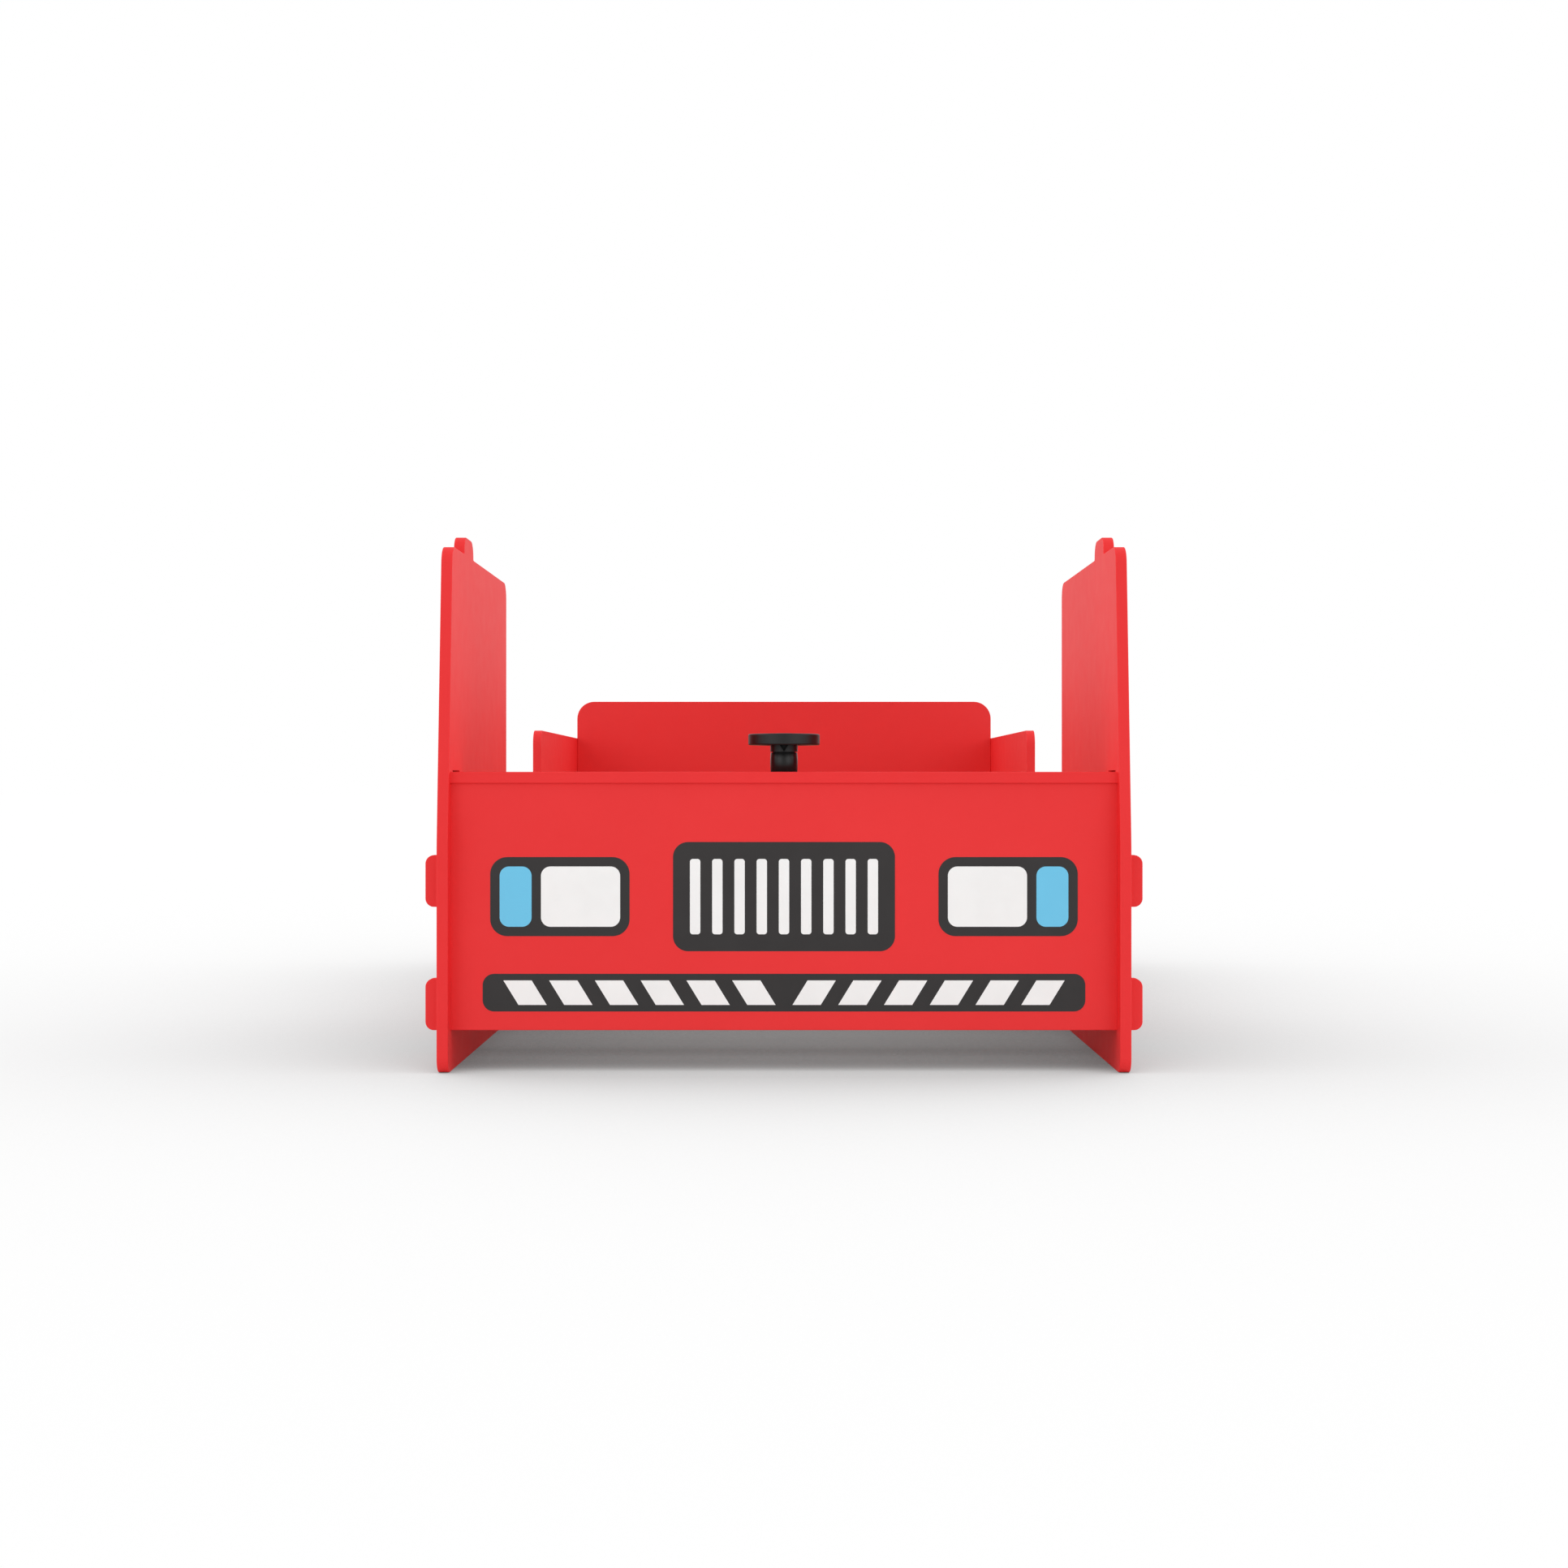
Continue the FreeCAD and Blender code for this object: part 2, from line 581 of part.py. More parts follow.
def dashboard_shelf():
    """The shelf on the front panel, with an end tab in each side and the column's holes."""
    body = new_body("dashboard_shelf")
    left = size.board
    right = left + size.inner_width
    tip = right + size.board
    near = (size.shelf_depth - size.shelf_tab) / 2
    far = near + size.shelf_tab
    corners = [
        (left, ZERO, None),
        (right, ZERO, None),
        (right, near, None),
        (tip, near, None),
        (tip, far, None),
        (right, far, None),
        (right, size.shelf_depth, None),
        (left, size.shelf_depth, None),
        (left, far, None),
        (ZERO, far, None),
        (ZERO, near, None),
        (left, near, None),
    ]
    plate(body, "XY_Plane", corners, size.board)

    def is_long_edge(edge):
        at_side = lies_at(edge, "Y", ZERO) or lies_at(edge, "Y", size.shelf_depth)
        return at_side and (lies_at(edge, "Z", ZERO) or lies_at(edge, "Z", size.board))

    round_edges(body, size.edge_round, is_long_edge)
    middle = tip / 2
    deep = size.shelf_depth / 2
    bolt_hole = new_sketch(body, "XY_Plane")
    circle(bolt_hole, middle, deep, size.bolt_radius + size.bolt_clearance)
    cut(body, bolt_hole, along_normal=True)
    offset = size.column_screw_offset
    drill(body, "XY_Plane", [(middle - offset, deep), (middle + offset, deep)], along_normal=True)
    place(body, -half_outer, front_plane + size.shelf_front, size.shelf_bottom)


def slat_rail(side):
    """A rail inside the side panel that carries the slats' ends."""
    body = new_body(side_name("slat_rail", side))
    section = new_sketch(body, "XY_Plane")
    rectangle(section, ZERO, ZERO, size.rail_width, rail_length)
    pad(body, section, size.rail_height)
    inner = ZERO if side == RIGHT else size.rail_width
    round_edges(body, size.rail_round, lambda edge: lies_at(edge, "X", inner) and (
        lies_at(edge, "Z", ZERO) or lies_at(edge, "Z", size.rail_height)))
    spots = [(along - rail_start, size.rail_screw_height) for along in rail_screw_spots()]
    drill(body, "YZ_Plane", spots, inner, along_normal=side == RIGHT)
    slat_spots = [(size.rail_width / 2, first_slat_middle - rail_start + slat_pitch * step)
                  for step in range(SLATS)]
    pilot(body, "XY_Plane", slat_spots, size.slat_screw - size.slat_thickness, size.rail_height)
    place(body, half_inner - size.rail_width if side == RIGHT else -half_inner,
          front_plane + deck_front + rail_start, rail_bottom)


def corner_block(side, front):
    """A block that ties an end panel to a side panel, below the deck."""
    end = "front" if front else "rear"
    body = new_body(side_name(f"corner_block_{end}", side))
    section = new_sketch(body, "XY_Plane")
    rectangle(section, ZERO, ZERO, size.block_width, size.block_width)
    pad(body, section, size.block_height)
    inner_x = ZERO if side == RIGHT else size.block_width
    inner_y = size.block_width if front else ZERO
    round_edges(body, size.block_round, lambda edge: (
        lies_at(edge, "X", inner_x) and lies_at(edge, "Y", inner_y)))
    middle = size.block_width / 2
    into_side = [(middle, height) for height in block_screw_heights(ZERO)]
    drill(body, "YZ_Plane", into_side, inner_x, along_normal=side == RIGHT)
    into_end = [(middle, height) for height in block_screw_heights(size.block_screw_shift)]
    drill(body, "XZ_Plane", into_end, -inner_y, along_normal=front)
    place(body, half_inner - size.block_width if side == RIGHT else -half_inner,
          front_plane + (deck_front if front else head_front - size.block_width), block_bottom)


def slat(number):
    """One slat of the deck, with a countersunk hole over each rail."""
    body = new_body(f"slat_{number + 1:02d}")
    length = size.inner_width - size.slat_end_gap * 2
    section = new_sketch(body, "XY_Plane")
    rectangle(section, ZERO, ZERO, length, size.slat_width)
    pad(body, section, size.slat_thickness)

    def is_long_edge(edge):
        at_side = lies_at(edge, "Y", ZERO) or lies_at(edge, "Y", size.slat_width)
        return at_side and (lies_at(edge, "Z", ZERO) or lies_at(edge, "Z", size.slat_thickness))

    round_edges(body, size.slat_round, is_long_edge)
    inset = size.rail_width / 2 - size.slat_end_gap
    middle = size.slat_width / 2
    drill(body, "XY_Plane", [(inset, middle), (length - inset, middle)], size.slat_thickness)
    place(body, size.slat_end_gap - half_inner,
          front_plane + deck_front + size.slat_margin + slat_pitch * number, size.rail_top)


def screw_profile(length, head_first):
    """Half the outline of a wood screw along its axis, from the head or from the point."""
    points = [
        (ZERO, ZERO),
        (size.screw_radius, size.screw_tip),
        (size.screw_radius, length - size.screw_head_depth),
        (size.screw_head_radius, length),
        (ZERO, length),
    ]
    if head_first:
        points = [(across, length - along) for across, along in points]
    return points


def screw(body, plane, profile, axis, x, y, z):
    """One wood screw whose axis is an axis of its sketch."""
    sketch = new_sketch(body, plane, x, y, z)
    if axis == "H_Axis":
        profile = [(along, across) for across, along in profile]
    outline(sketch, profile)
    return revolve(body, sketch, axis)


def slat_screws():
    """The screws that hold the slats down on the rails."""
    body = new_body("slat_screws")
    first = screw(body, "XZ_Plane", screw_profile(size.slat_screw, False), "V_Axis",
                  half_inner - size.rail_width / 2,
                  size.rail_top + size.slat_thickness - size.slat_screw,
                  -(front_plane + deck_front + first_slat_middle))
    repeat(body, [first], [("Y_Axis", slat_pitch * (SLATS - 1), SLATS), "YZ_Plane"])


def slat_rail_screws():
    """The screws that hold the rails to the side panels."""
    body = new_body("slat_rail_screws")
    first = screw(body, "XY_Plane", screw_profile(size.rail_screw, True), "H_Axis",
                  half_inner - size.rail_width,
                  front_plane + deck_front + rail_start + size.rail_screw_margin,
                  rail_bottom + size.rail_screw_height)
    repeat(body, [first], [("Y_Axis", rail_screw_step * (RAIL_SCREWS - 1), RAIL_SCREWS), "YZ_Plane"])


def corner_block_screws():
    """The screws from the corner blocks into the side panels and the end panels."""
    body = new_body("corner_block_screws")
    middle = size.block_width / 2
    from_front = front_plane + deck_front
    to_side = screw(body, "XY_Plane", screw_profile(size.block_screw, True), "H_Axis",
                    half_inner - size.block_width, from_front + middle,
                    block_bottom + size.block_screw_low)
    to_end = screw(body, "XY_Plane", screw_profile(size.block_screw, False), "V_Axis",
                   half_inner - middle, from_front + size.block_width - size.block_screw,
                   block_bottom + size.block_screw_low + size.block_screw_shift)
    pair = ("Z_Axis", size.block_screw_pitch, 2)
    repeat(body, [to_side, to_end], [pair, "YZ_Plane", "XZ_Plane"])


def column_screws():
    """The two screws that come up through the shelf into the steering column."""
    body = new_body("column_screws")
    first = screw(body, "XZ_Plane", screw_profile(size.column_screw, True), "V_Axis",
                  size.column_screw_offset, ZERO, ZERO)
    repeat(body, [first], ["YZ_Plane"])
    place(body, y=front_plane + wheel_back, z=size.shelf_bottom)


def steering_column():
    """The short column on the shelf, its side swelling a little, bored for the pivot bolt."""
    body = new_body("steering_column")
    profile = new_sketch(body, "XZ_Plane")
    bore = size.bolt_radius + size.bolt_clearance
    foot_in = (bore, ZERO)
    foot_out = (size.column_base_radius, ZERO)
    head_out = (size.column_top_radius, size.column_height)
    head_in = (bore, size.column_height)
    for start, end in ((head_out, head_in), (head_in, foot_in), (foot_in, foot_out)):
        profile.addGeometry(Part.LineSegment(spot(*start), spot(*end)), False)
    low = spot(*foot_out)
    high = spot(*head_out)
    chord = high - low
    sag = size.column_swell.value - (size.column_swell.value ** 2 - (chord.Length / 2) ** 2) ** 0.5
    outward = FreeCAD.Vector(chord.y, -chord.x, 0).normalize()
    side = profile.addGeometry(Part.Arc(low, (low + high) / 2 + outward * sag, high), False)
    for line, end, other, other_end in ((0, 2, 1, 1), (1, 2, 2, 1), (2, 2, side, 1), (side, 2, 0, 1)):
        profile.addConstraint(Sketcher.Constraint("Coincident", line, end, other, other_end))
    hold(profile, 0, 1, *head_out)
    hold(profile, 1, 1, *head_in)
    hold(profile, 2, 1, *foot_in)
    hold(profile, 2, 2, *foot_out)
    swell = profile.addConstraint(Sketcher.Constraint("Radius", side, size.column_swell.value))
    profile.setExpression(f"Constraints[{swell}]", size.column_swell.text)
    revolve(body, profile, "V_Axis")
    offset = size.column_screw_offset
    pilot(body, "XY_Plane", [(-offset, ZERO), (offset, ZERO)], size.column_screw - size.board,
          along_normal=True)
    place(body, y=front_plane + wheel_back, z=shelf_top)


def steering_wheel():
    """The spoked wheel; its hub has a notched collar below and a recess for the bolt's head."""
    body = new_body("steering_wheel")
    hub = new_sketch(body, "XY_Plane", z=-size.collar_height)
    circle(hub, ZERO, ZERO, size.hub_radius)
    pad(body, hub, size.collar_height + size.wheel_thickness)

    rim = new_sketch(body, "XY_Plane")
    rim_inner = size.wheel_radius - size.rim_width
    circle(rim, ZERO, ZERO, size.wheel_radius)
    circle(rim, ZERO, ZERO, rim_inner)
    pad(body, rim, size.wheel_thickness)

    rim_middle = size.wheel_radius - size.rim_width / 2
    half_spoke = size.spoke_width / 2
    spoke = new_sketch(body, "XY_Plane", z=size.spoke_inset)
    rectangle(spoke, -half_spoke, size.recess_radius, half_spoke, rim_middle)
    first_spoke = pad(body, spoke, size.wheel_thickness - size.spoke_inset * 2)
    around(body, [first_spoke], SPOKES)

    half_notch = size.notch_width / 2
    notch = new_sketch(body, "XZ_Plane", z=size.hub_radius - size.notch_depth)
    outline(notch, [(ZERO, -size.collar_height), (half_notch, ZERO), (-half_notch, ZERO)])
    first_notch = cut(body, notch, along_normal=True)
    around(body, [first_notch], SPOKES)

    recess = new_sketch(body, "XY_Plane", z=size.wheel_thickness)
    circle(recess, ZERO, ZERO, size.recess_radius)
    cut(body, recess, size.recess_depth)
    bore = new_sketch(body, "XY_Plane", z=size.wheel_thickness)
    circle(bore, ZERO, ZERO, size.bolt_radius + size.bolt_play)
    cut(body, bore)

    def is_rim_edge(edge):
        if not isinstance(edge.Curve, Part.Circle):
            return False
        wide = edge.Curve.Radius > rim_inner.value - NEAR
        return wide and (lies_at(edge, "Z", ZERO) or lies_at(edge, "Z", size.wheel_thickness))

    round_edges(body, size.wheel_round, is_rim_edge)
    place(body, y=front_plane + wheel_back, z=wheel_bottom)


def hub_cap():
    """The crowned cap that closes the hub's recess over the bolt's head."""
    body = new_body("hub_cap")
    radius = size.recess_radius - size.cap_play
    profile = new_sketch(body, "XZ_Plane")
    outline(profile, [
        (ZERO, ZERO),
        (radius, ZERO),
        (radius, size.cap_thickness - size.cap_crown),
        (radius - size.cap_bevel, size.cap_thickness),
        (ZERO, size.cap_thickness),
    ])
    revolve(body, profile, "V_Axis")
    place(body, y=front_plane + wheel_back,
          z=wheel_bottom + size.wheel_thickness - size.cap_thickness + size.cap_crown)


def pivot_bolt():
    """The bolt that the wheel turns on, down through the column and the shelf."""
    body = new_body("pivot_bolt")
    recess_floor = wheel_bottom + size.wheel_thickness - size.recess_depth
    head_foot = recess_floor + size.washer_thickness + size.head_play
    end = size.shelf_bottom - size.shelf_washer_thickness - size.nut_height - size.bolt_end
    length = head_foot - end
    profile = new_sketch(body, "XZ_Plane")
    outline(profile, [
        (ZERO, ZERO),
        (size.bolt_radius, ZERO),
        (size.bolt_radius, length),
        (size.bolt_head_radius, length),
        (size.bolt_head_flat, length + size.bolt_head_height),
        (ZERO, length + size.bolt_head_height),
    ])
    revolve(body, profile, "V_Axis")
    place(body, y=front_plane + wheel_back, z=end)


def cylinder(name, radius, height):
    """A plain cylinder on its own origin."""
    solid = doc.addObject("Part::Cylinder", name)
    solid.setExpression("Radius", radius.text)
    solid.setExpression("Height", height.text)
    return solid


def bored(name, blank, bore_radius, thickness, foot):
    """A blank on the steering axis with a bore through it."""
    piece = doc.addObject("Part::Cut", name)
    piece.Base = blank
    piece.Tool = cylinder(f"{name}_bore", bore_radius, thickness)
    piece.Label = name
    parts.append(piece)
    place(piece, y=front_plane + wheel_back, z=foot)


def washers_and_nut():
    """The washers along the pivot bolt and the lock nut under the shelf."""
    loose_bore = size.bolt_radius + size.bolt_clearance
    bored("spacer_washer", cylinder("spacer_disc", size.spacer_radius, size.spacer_thickness),
          loose_bore, size.spacer_thickness, column_top)
    bored("head_washer", cylinder("head_disc", size.washer_radius, size.washer_thickness),
          loose_bore, size.washer_thickness, wheel_bottom + size.wheel_thickness - size.recess_depth)
    washer_foot = size.shelf_bottom - size.shelf_washer_thickness
    bored("shelf_washer", cylinder("shelf_disc", size.shelf_washer_radius, size.shelf_washer_thickness),
          loose_bore, size.shelf_washer_thickness, washer_foot)
    hexagon = doc.addObject("Part::Prism", "nut_blank")
    hexagon.Polygon = NUT_SIDES
    hexagon.setExpression("Circumradius", size.nut_corner_radius.text)
    hexagon.setExpression("Height", size.nut_height.text)
    bored("lock_nut", hexagon, size.bolt_radius + size.nut_play, size.nut_height,
          washer_foot - size.nut_height)


def front_vinyl(name, shapes, corner, layer):
    """One layer of vinyl on the front panel: outlines whose corners share a radius, or are sharp."""
    body = new_body(name)
    sketch = new_sketch(body, "XZ_Plane", z=size.vinyl * layer)
    for corners in shapes:
        outline(sketch, corners)
    pad(body, sketch, size.vinyl)
    if corner:
        round_corners(body, "XZ_Plane", [(*point, corner) for corners in shapes for point in corners])
    place(body, y=front_plane + size.front_setback)


def box_corners(left, bottom, right, top):
    """The four corners of a rectangle."""
    return [(left, bottom), (right, bottom), (right, top), (left, top)]


def both_sides(inner, bottom, outer, top):
    """A rectangle on each side of the bed's middle."""
    return [box_corners(inner, bottom, outer, top), box_corners(-outer, bottom, -inner, top)]


def front_graphics():
    """Grille, headlamp units and bumper band on the front panel."""
    half_bumper = half_inner - size.bumper_side
    bumper_foot = size.panel_bottom + size.bumper_lift
    bumper_top = bumper_foot + size.bumper_height
    front_vinyl("bumper_decal", [box_corners(-half_bumper, bumper_foot, half_bumper, bumper_top)],
                size.bumper_corner, 0)
    block_foot = bumper_foot + size.bumper_edge
    block_top = bumper_top - size.bumper_edge
    run = half_bumper - size.bumper_middle - size.bumper_margin - size.bumper_block - size.bumper_lean
    shapes = []
    for step in range(BUMPER_BLOCKS):
        near = size.bumper_middle + run / (BUMPER_BLOCKS - 1) * step
        far = near + size.bumper_block
        shapes.append([(near, block_foot), (far, block_foot),
                       (far + size.bumper_lean, block_top), (near + size.bumper_lean, block_top)])
        shapes.append([(-far, block_foot), (-near, block_foot),
                       (-near - size.bumper_lean, block_top), (-far - size.bumper_lean, block_top)])
    front_vinyl("bumper_block_decals", shapes, None, 1)

    grille_width = size.inner_width * size.grille_share
    grille_foot = bumper_top + size.grille_lift
    grille_top = size.shelf_bottom - size.grille_drop
    front_vinyl("grille_decal", [box_corners(-(grille_width / 2), grille_foot, grille_width / 2, grille_top)],
                size.grille_corner, 0)
    bar_run = grille_width - size.grille_frame * 2 - size.grille_bar
    bars = [-((bar_run + size.grille_bar) / 2) + bar_run / (GRILLE_BARS - 1) * step
            for step in range(GRILLE_BARS)]
    front_vinyl("grille_bar_decals",
                [box_corners(left, grille_foot + size.grille_frame,
                             left + size.grille_bar, grille_top - size.grille_frame) for left in bars],
                size.grille_bar_corner, 1)

    lamp_outer = half_inner - size.lamp_side
    lamp_width = size.inner_width * size.lamp_share
    lamp_inner = lamp_outer - lamp_width
    lamp_height = (grille_top - grille_foot) * size.lamp_height_share
    lamp_foot = (grille_foot + grille_top - lamp_height) / 2
    lamp_top = lamp_foot + lamp_height
    front_vinyl("headlamp_decals", both_sides(lamp_inner, lamp_foot, lamp_outer, lamp_top),
                size.lamp_corner, 0)
    lens_inner = lamp_inner + size.lamp_frame
    lens_outer = lens_inner + lamp_width * size.lens_share
    lens_foot = lamp_foot + size.lamp_frame
    lens_top = lamp_top - size.lamp_frame
    front_vinyl("headlamp_lens_decals", both_sides(lens_inner, lens_foot, lens_outer, lens_top),
                size.lens_corner, 1)
    front_vinyl("marker_lens_decals",
                both_sides(lens_outer + size.lamp_frame, lens_foot, lamp_outer - size.lamp_frame, lens_top),
                size.lens_corner, 1)


def side_vinyl(name, side, layer):
    """An empty body for vinyl on a side's outer face, and its sketch."""
    body = new_body(side_name(name, side))
    inner = size.vinyl * layer
    place(body, half_outer + inner if side == RIGHT else -(half_outer + inner + size.vinyl), front_plane)
    return body, new_sketch(body, "YZ_Plane")


def side_graphics(side):
    """Wheels, window, stripe, ladder and beacon on a side's outer face."""
    tyre_radius = (stripe_foot - size.tyre_gap - size.tyre_lift) / 2
    tyre_middle = size.tyre_lift + tyre_radius
    rear_length = side_length - size.rear_start
    wheels = (size.cab_length * size.front_tyre_share, size.rear_start + rear_length * size.rear_tyre_share)
    body, sketch = side_vinyl("tyre_decals", side, 0)
    for along in wheels:
        circle(sketch, along, tyre_middle, tyre_radius)
    pad(body, sketch, size.vinyl)

    lug_circle = tyre_radius * size.lug_circle_share
    body, sketch = side_vinyl("rim_decals", side, 1)
    for along in wheels:
        circle(sketch, along, tyre_middle, tyre_radius * size.rim_share)
        for step in range(LUGS):
            turn = math.tau * step / LUGS
            circle(sketch, along + lug_circle * math.sin(turn), tyre_middle + lug_circle * math.cos(turn),
                   tyre_radius * size.lug_share)
    pad(body, sketch, size.vinyl)

    window_foot = stripe_top + (size.roof_height - stripe_top) * size.window_foot_share
    window_head = size.roof_height - size.window_drop
    window_rear = size.cab_length - size.window_rear
    window_lean = (window_head - window_foot) * size.rake_share
    body, sketch = side_vinyl("window_frame_decal", side, 0)
    window = [
        (size.window_front, window_foot),
        (window_rear, window_foot),
        (window_rear, window_head),
        (size.window_front + window_lean, window_head),
    ]
    outline(sketch, window)
    pad(body, sketch, size.vinyl)
    round_corners(body, "YZ_Plane", [(*point, size.window_corner) for point in window])

    frame = size.window_frame
    glass_corner = size.window_corner - frame
    body, sketch = side_vinyl("window_glass_decal", side, 1)
    glass = [
        (size.window_front + frame, window_foot + frame),
        (window_rear - frame, window_foot + frame),
        (window_rear - frame, window_head - frame),
        (size.window_front + window_lean + frame, window_head - frame),
    ]
    outline(sketch, glass)
    pad(body, sketch, size.vinyl)
    round_corners(body, "YZ_Plane", [(*point, glass_corner) for point in glass])

    body, sketch = side_vinyl("stripe_decal", side, 0)
    rectangle(sketch, size.stripe_margin, stripe_foot, side_length - size.stripe_margin, stripe_top)
    pad(body, sketch, size.vinyl)

    ladder_start = size.rear_start + size.ladder_front
    ladder_end = side_length - size.ladder_rear
    ladder_room = size.rear_height - stripe_top
    ladder_foot = stripe_top + ladder_room * size.ladder_foot_share
    ladder_top = ladder_foot + ladder_room * size.ladder_share
    body, sketch = side_vinyl("ladder_decal", side, 0)
    ladder = box_corners(ladder_start, ladder_foot, ladder_end, ladder_top)
    outline(sketch, ladder)
    pad(body, sketch, size.vinyl)
    round_corners(body, "YZ_Plane", [(*point, size.ladder_corner) for point in ladder])
    gaps = new_sketch(body, "YZ_Plane")
    pitch = (ladder_end - ladder_start - size.ladder_rung) / (RUNGS - 1)
    for number in range(RUNGS - 1):
        start = ladder_start + size.ladder_rung + pitch * number
        rectangle(gaps, start, ladder_foot + size.ladder_rail,
                  start + pitch - size.ladder_rung, ladder_top - size.ladder_rail)
    cut(body, gaps, along_normal=True)

    body, sketch = side_vinyl("beacon_decal", side, 0)
    beacon = box_corners(size.beacon_start + size.beacon_inset, size.roof_height,
                         size.beacon_start + size.beacon_length - size.beacon_inset,
                         size.roof_height + size.beacon_height - size.beacon_inset)
    outline(sketch, beacon)
    pad(body, sketch, size.vinyl)
    top_corner = size.beacon_corner - size.beacon_inset
    round_corners(body, "YZ_Plane", [(*point, top_corner) for point in beacon[2:]])


for side in (LEFT, RIGHT):
    side_panel(side)
cross_panel("front_panel", size.front_setback, size.shelf_bottom, None, True)
cross_panel("headboard_panel", head_front, size.head_height, size.head_corner, False)
dashboard_shelf()
for side in (LEFT, RIGHT):
    slat_rail(side)
    for front in (True, False):
        corner_block(side, front)
for number in range(SLATS):
    slat(number)
slat_screws()
slat_rail_screws()
corner_block_screws()
steering_column()
steering_wheel()
hub_cap()
pivot_bolt()
washers_and_nut()
column_screws()
front_graphics()
for side in (LEFT, RIGHT):
    side_graphics(side)
doc.recompute()

for item in doc.Objects:
    if "Invalid" in item.State or "Error" in item.State:
        raise RuntimeError(f"{item.Name} ({item.Label}) is not built: {item.State}")
for piece in parts:
    if piece.Shape.isNull() or not piece.Shape.isValid():
        raise RuntimeError(f"{piece.Label} has no valid shape")

os.makedirs("parts", exist_ok=True)
for piece in parts:
    piece.Shape.exportStep(f"parts/{piece.Label}.step")
print(f"{len(parts)} pieces written")
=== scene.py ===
import math

import bmesh
import bpy
from mathutils import Matrix, Vector


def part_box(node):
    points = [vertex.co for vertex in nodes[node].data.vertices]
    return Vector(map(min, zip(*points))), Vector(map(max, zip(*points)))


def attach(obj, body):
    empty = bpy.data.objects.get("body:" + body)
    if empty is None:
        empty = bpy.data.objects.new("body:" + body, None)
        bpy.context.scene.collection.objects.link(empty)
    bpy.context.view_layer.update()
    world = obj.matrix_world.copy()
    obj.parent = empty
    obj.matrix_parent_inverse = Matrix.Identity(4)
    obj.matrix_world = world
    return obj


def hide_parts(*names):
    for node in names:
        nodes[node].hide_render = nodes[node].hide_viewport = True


# The fire engine toddler bed: the CAD frame with its paint, wood, plastic, steel and vinyl, and the
# screws, bolt and lock nut in the detail that the CAD leaves out. Metres, +Z up, front towards -Y.

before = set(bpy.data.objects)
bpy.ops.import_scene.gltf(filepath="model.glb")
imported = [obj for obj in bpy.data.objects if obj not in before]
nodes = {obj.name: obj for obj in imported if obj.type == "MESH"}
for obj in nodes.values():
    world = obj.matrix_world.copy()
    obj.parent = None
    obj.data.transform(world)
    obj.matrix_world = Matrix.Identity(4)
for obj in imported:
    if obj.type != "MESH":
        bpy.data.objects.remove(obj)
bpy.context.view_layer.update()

# Camera: level with the dashboard, on the bed's middle plane. Its reach takes in the whole floor.
CAMERA_DISTANCE = 2.293
CAMERA_HEIGHT = 0.3056
CAMERA_REACH = 200.0
LENS_MM = 50.0
SENSOR_MM = 36.0

# Studio: an even white surround and four very soft keys.
STUDIO_LEVEL = 0.63
# Each key: azimuth from the front and height in degrees, breadth in degrees, strength.
KEYS = (
    (-100.0, 35.0, 60.0, 0.92), (100.0, 35.0, 60.0, 0.92),
    (-38.0, 12.0, 40.0, 0.46), (38.0, 12.0, 40.0, 0.46),
)
SEEN_RAYS = ("Is Camera Ray", "Is Glossy Ray", "Is Transmission Ray")
WHITE = (1.0, 1.0, 1.0, 1.0)

# The floor lies a hair above the sides' lower edges, so that from underneath these show and not its plane.
FLOOR_HALF = 60.0
FLOOR_HEIGHT = 0.0002
# How much light it throws back, and the share of true light and shade in what is seen of it.
FLOOR_BOUNCE = 0.80
FLOOR_TRUE_SHARE = 0.10
# The rest of what is seen is the bed's soft shade: its reach, its darkest level and its samples.
SHADE_REACH = 4.0
SHADE_FILL = 0.065
SHADE_SAMPLES = 16

X_AXIS = (1.0, 0.0, 0.0)
Y_AXIS = (0.0, 1.0, 0.0)
Z_AXIS = (0.0, 0.0, 1.0)
AXES = {"X": X_AXIS, "Y": Y_AXIS, "Z": Z_AXIS}

# Colours: the two ends of each material's slight variation.
RED_PAINT = ((0.825, 0.012, 0.014), (0.855, 0.015, 0.017))
WHEEL_BLACK = ((0.002, 0.002, 0.002), (0.004, 0.004, 0.004))
COLUMN_BLACK = ((0.002, 0.002, 0.002), (0.003, 0.003, 0.003))
WASHER_BLACK = ((0.010, 0.010, 0.010), (0.016, 0.016, 0.016))
ZINC = ((0.55, 0.56, 0.57), (0.70, 0.70, 0.69))
DARK_FILM = ((0.006, 0.003, 0.003), (0.009, 0.006, 0.006))
WHITE_FILM = ((0.93, 0.93, 0.92), (0.96, 0.96, 0.95))
BLUE_FILM = ((0.148, 0.581, 0.852), (0.154, 0.591, 0.862))
# Where the two ends lie on a ramp: for a gentle change of colour and for a steeper one.
GENTLE_RAMP = (0.30, 0.70)
STEEPER_RAMP = (0.35, 0.65)

# Below, a texture's scale is in repeats per metre, and a bump is its strength and its depth in metres.
# Paint: clouds of colour, the roller's waves, orange peel, and the board's fibres on the cut edges.
PAINT_CLOUD = 5.0
ROLLER_WAVE = 45.0
ORANGE_PEEL = 380.0
EDGE_FIBRE = 1100.0
ROLLER_BUMP = (0.05, 0.0006)
PEEL_BUMP = (0.10, 0.00012)
FIBRE_STRENGTH = 0.22
FIBRE_DEPTH = 0.00012
PAINT_ROUGHNESS = (0.54, 0.62)
DRY_EDGE = 0.08
# How squarely a surface looks along the board's thickness: a cut edge up to the first, a face from the last.
EDGE_FACING = (0.35, 0.80)

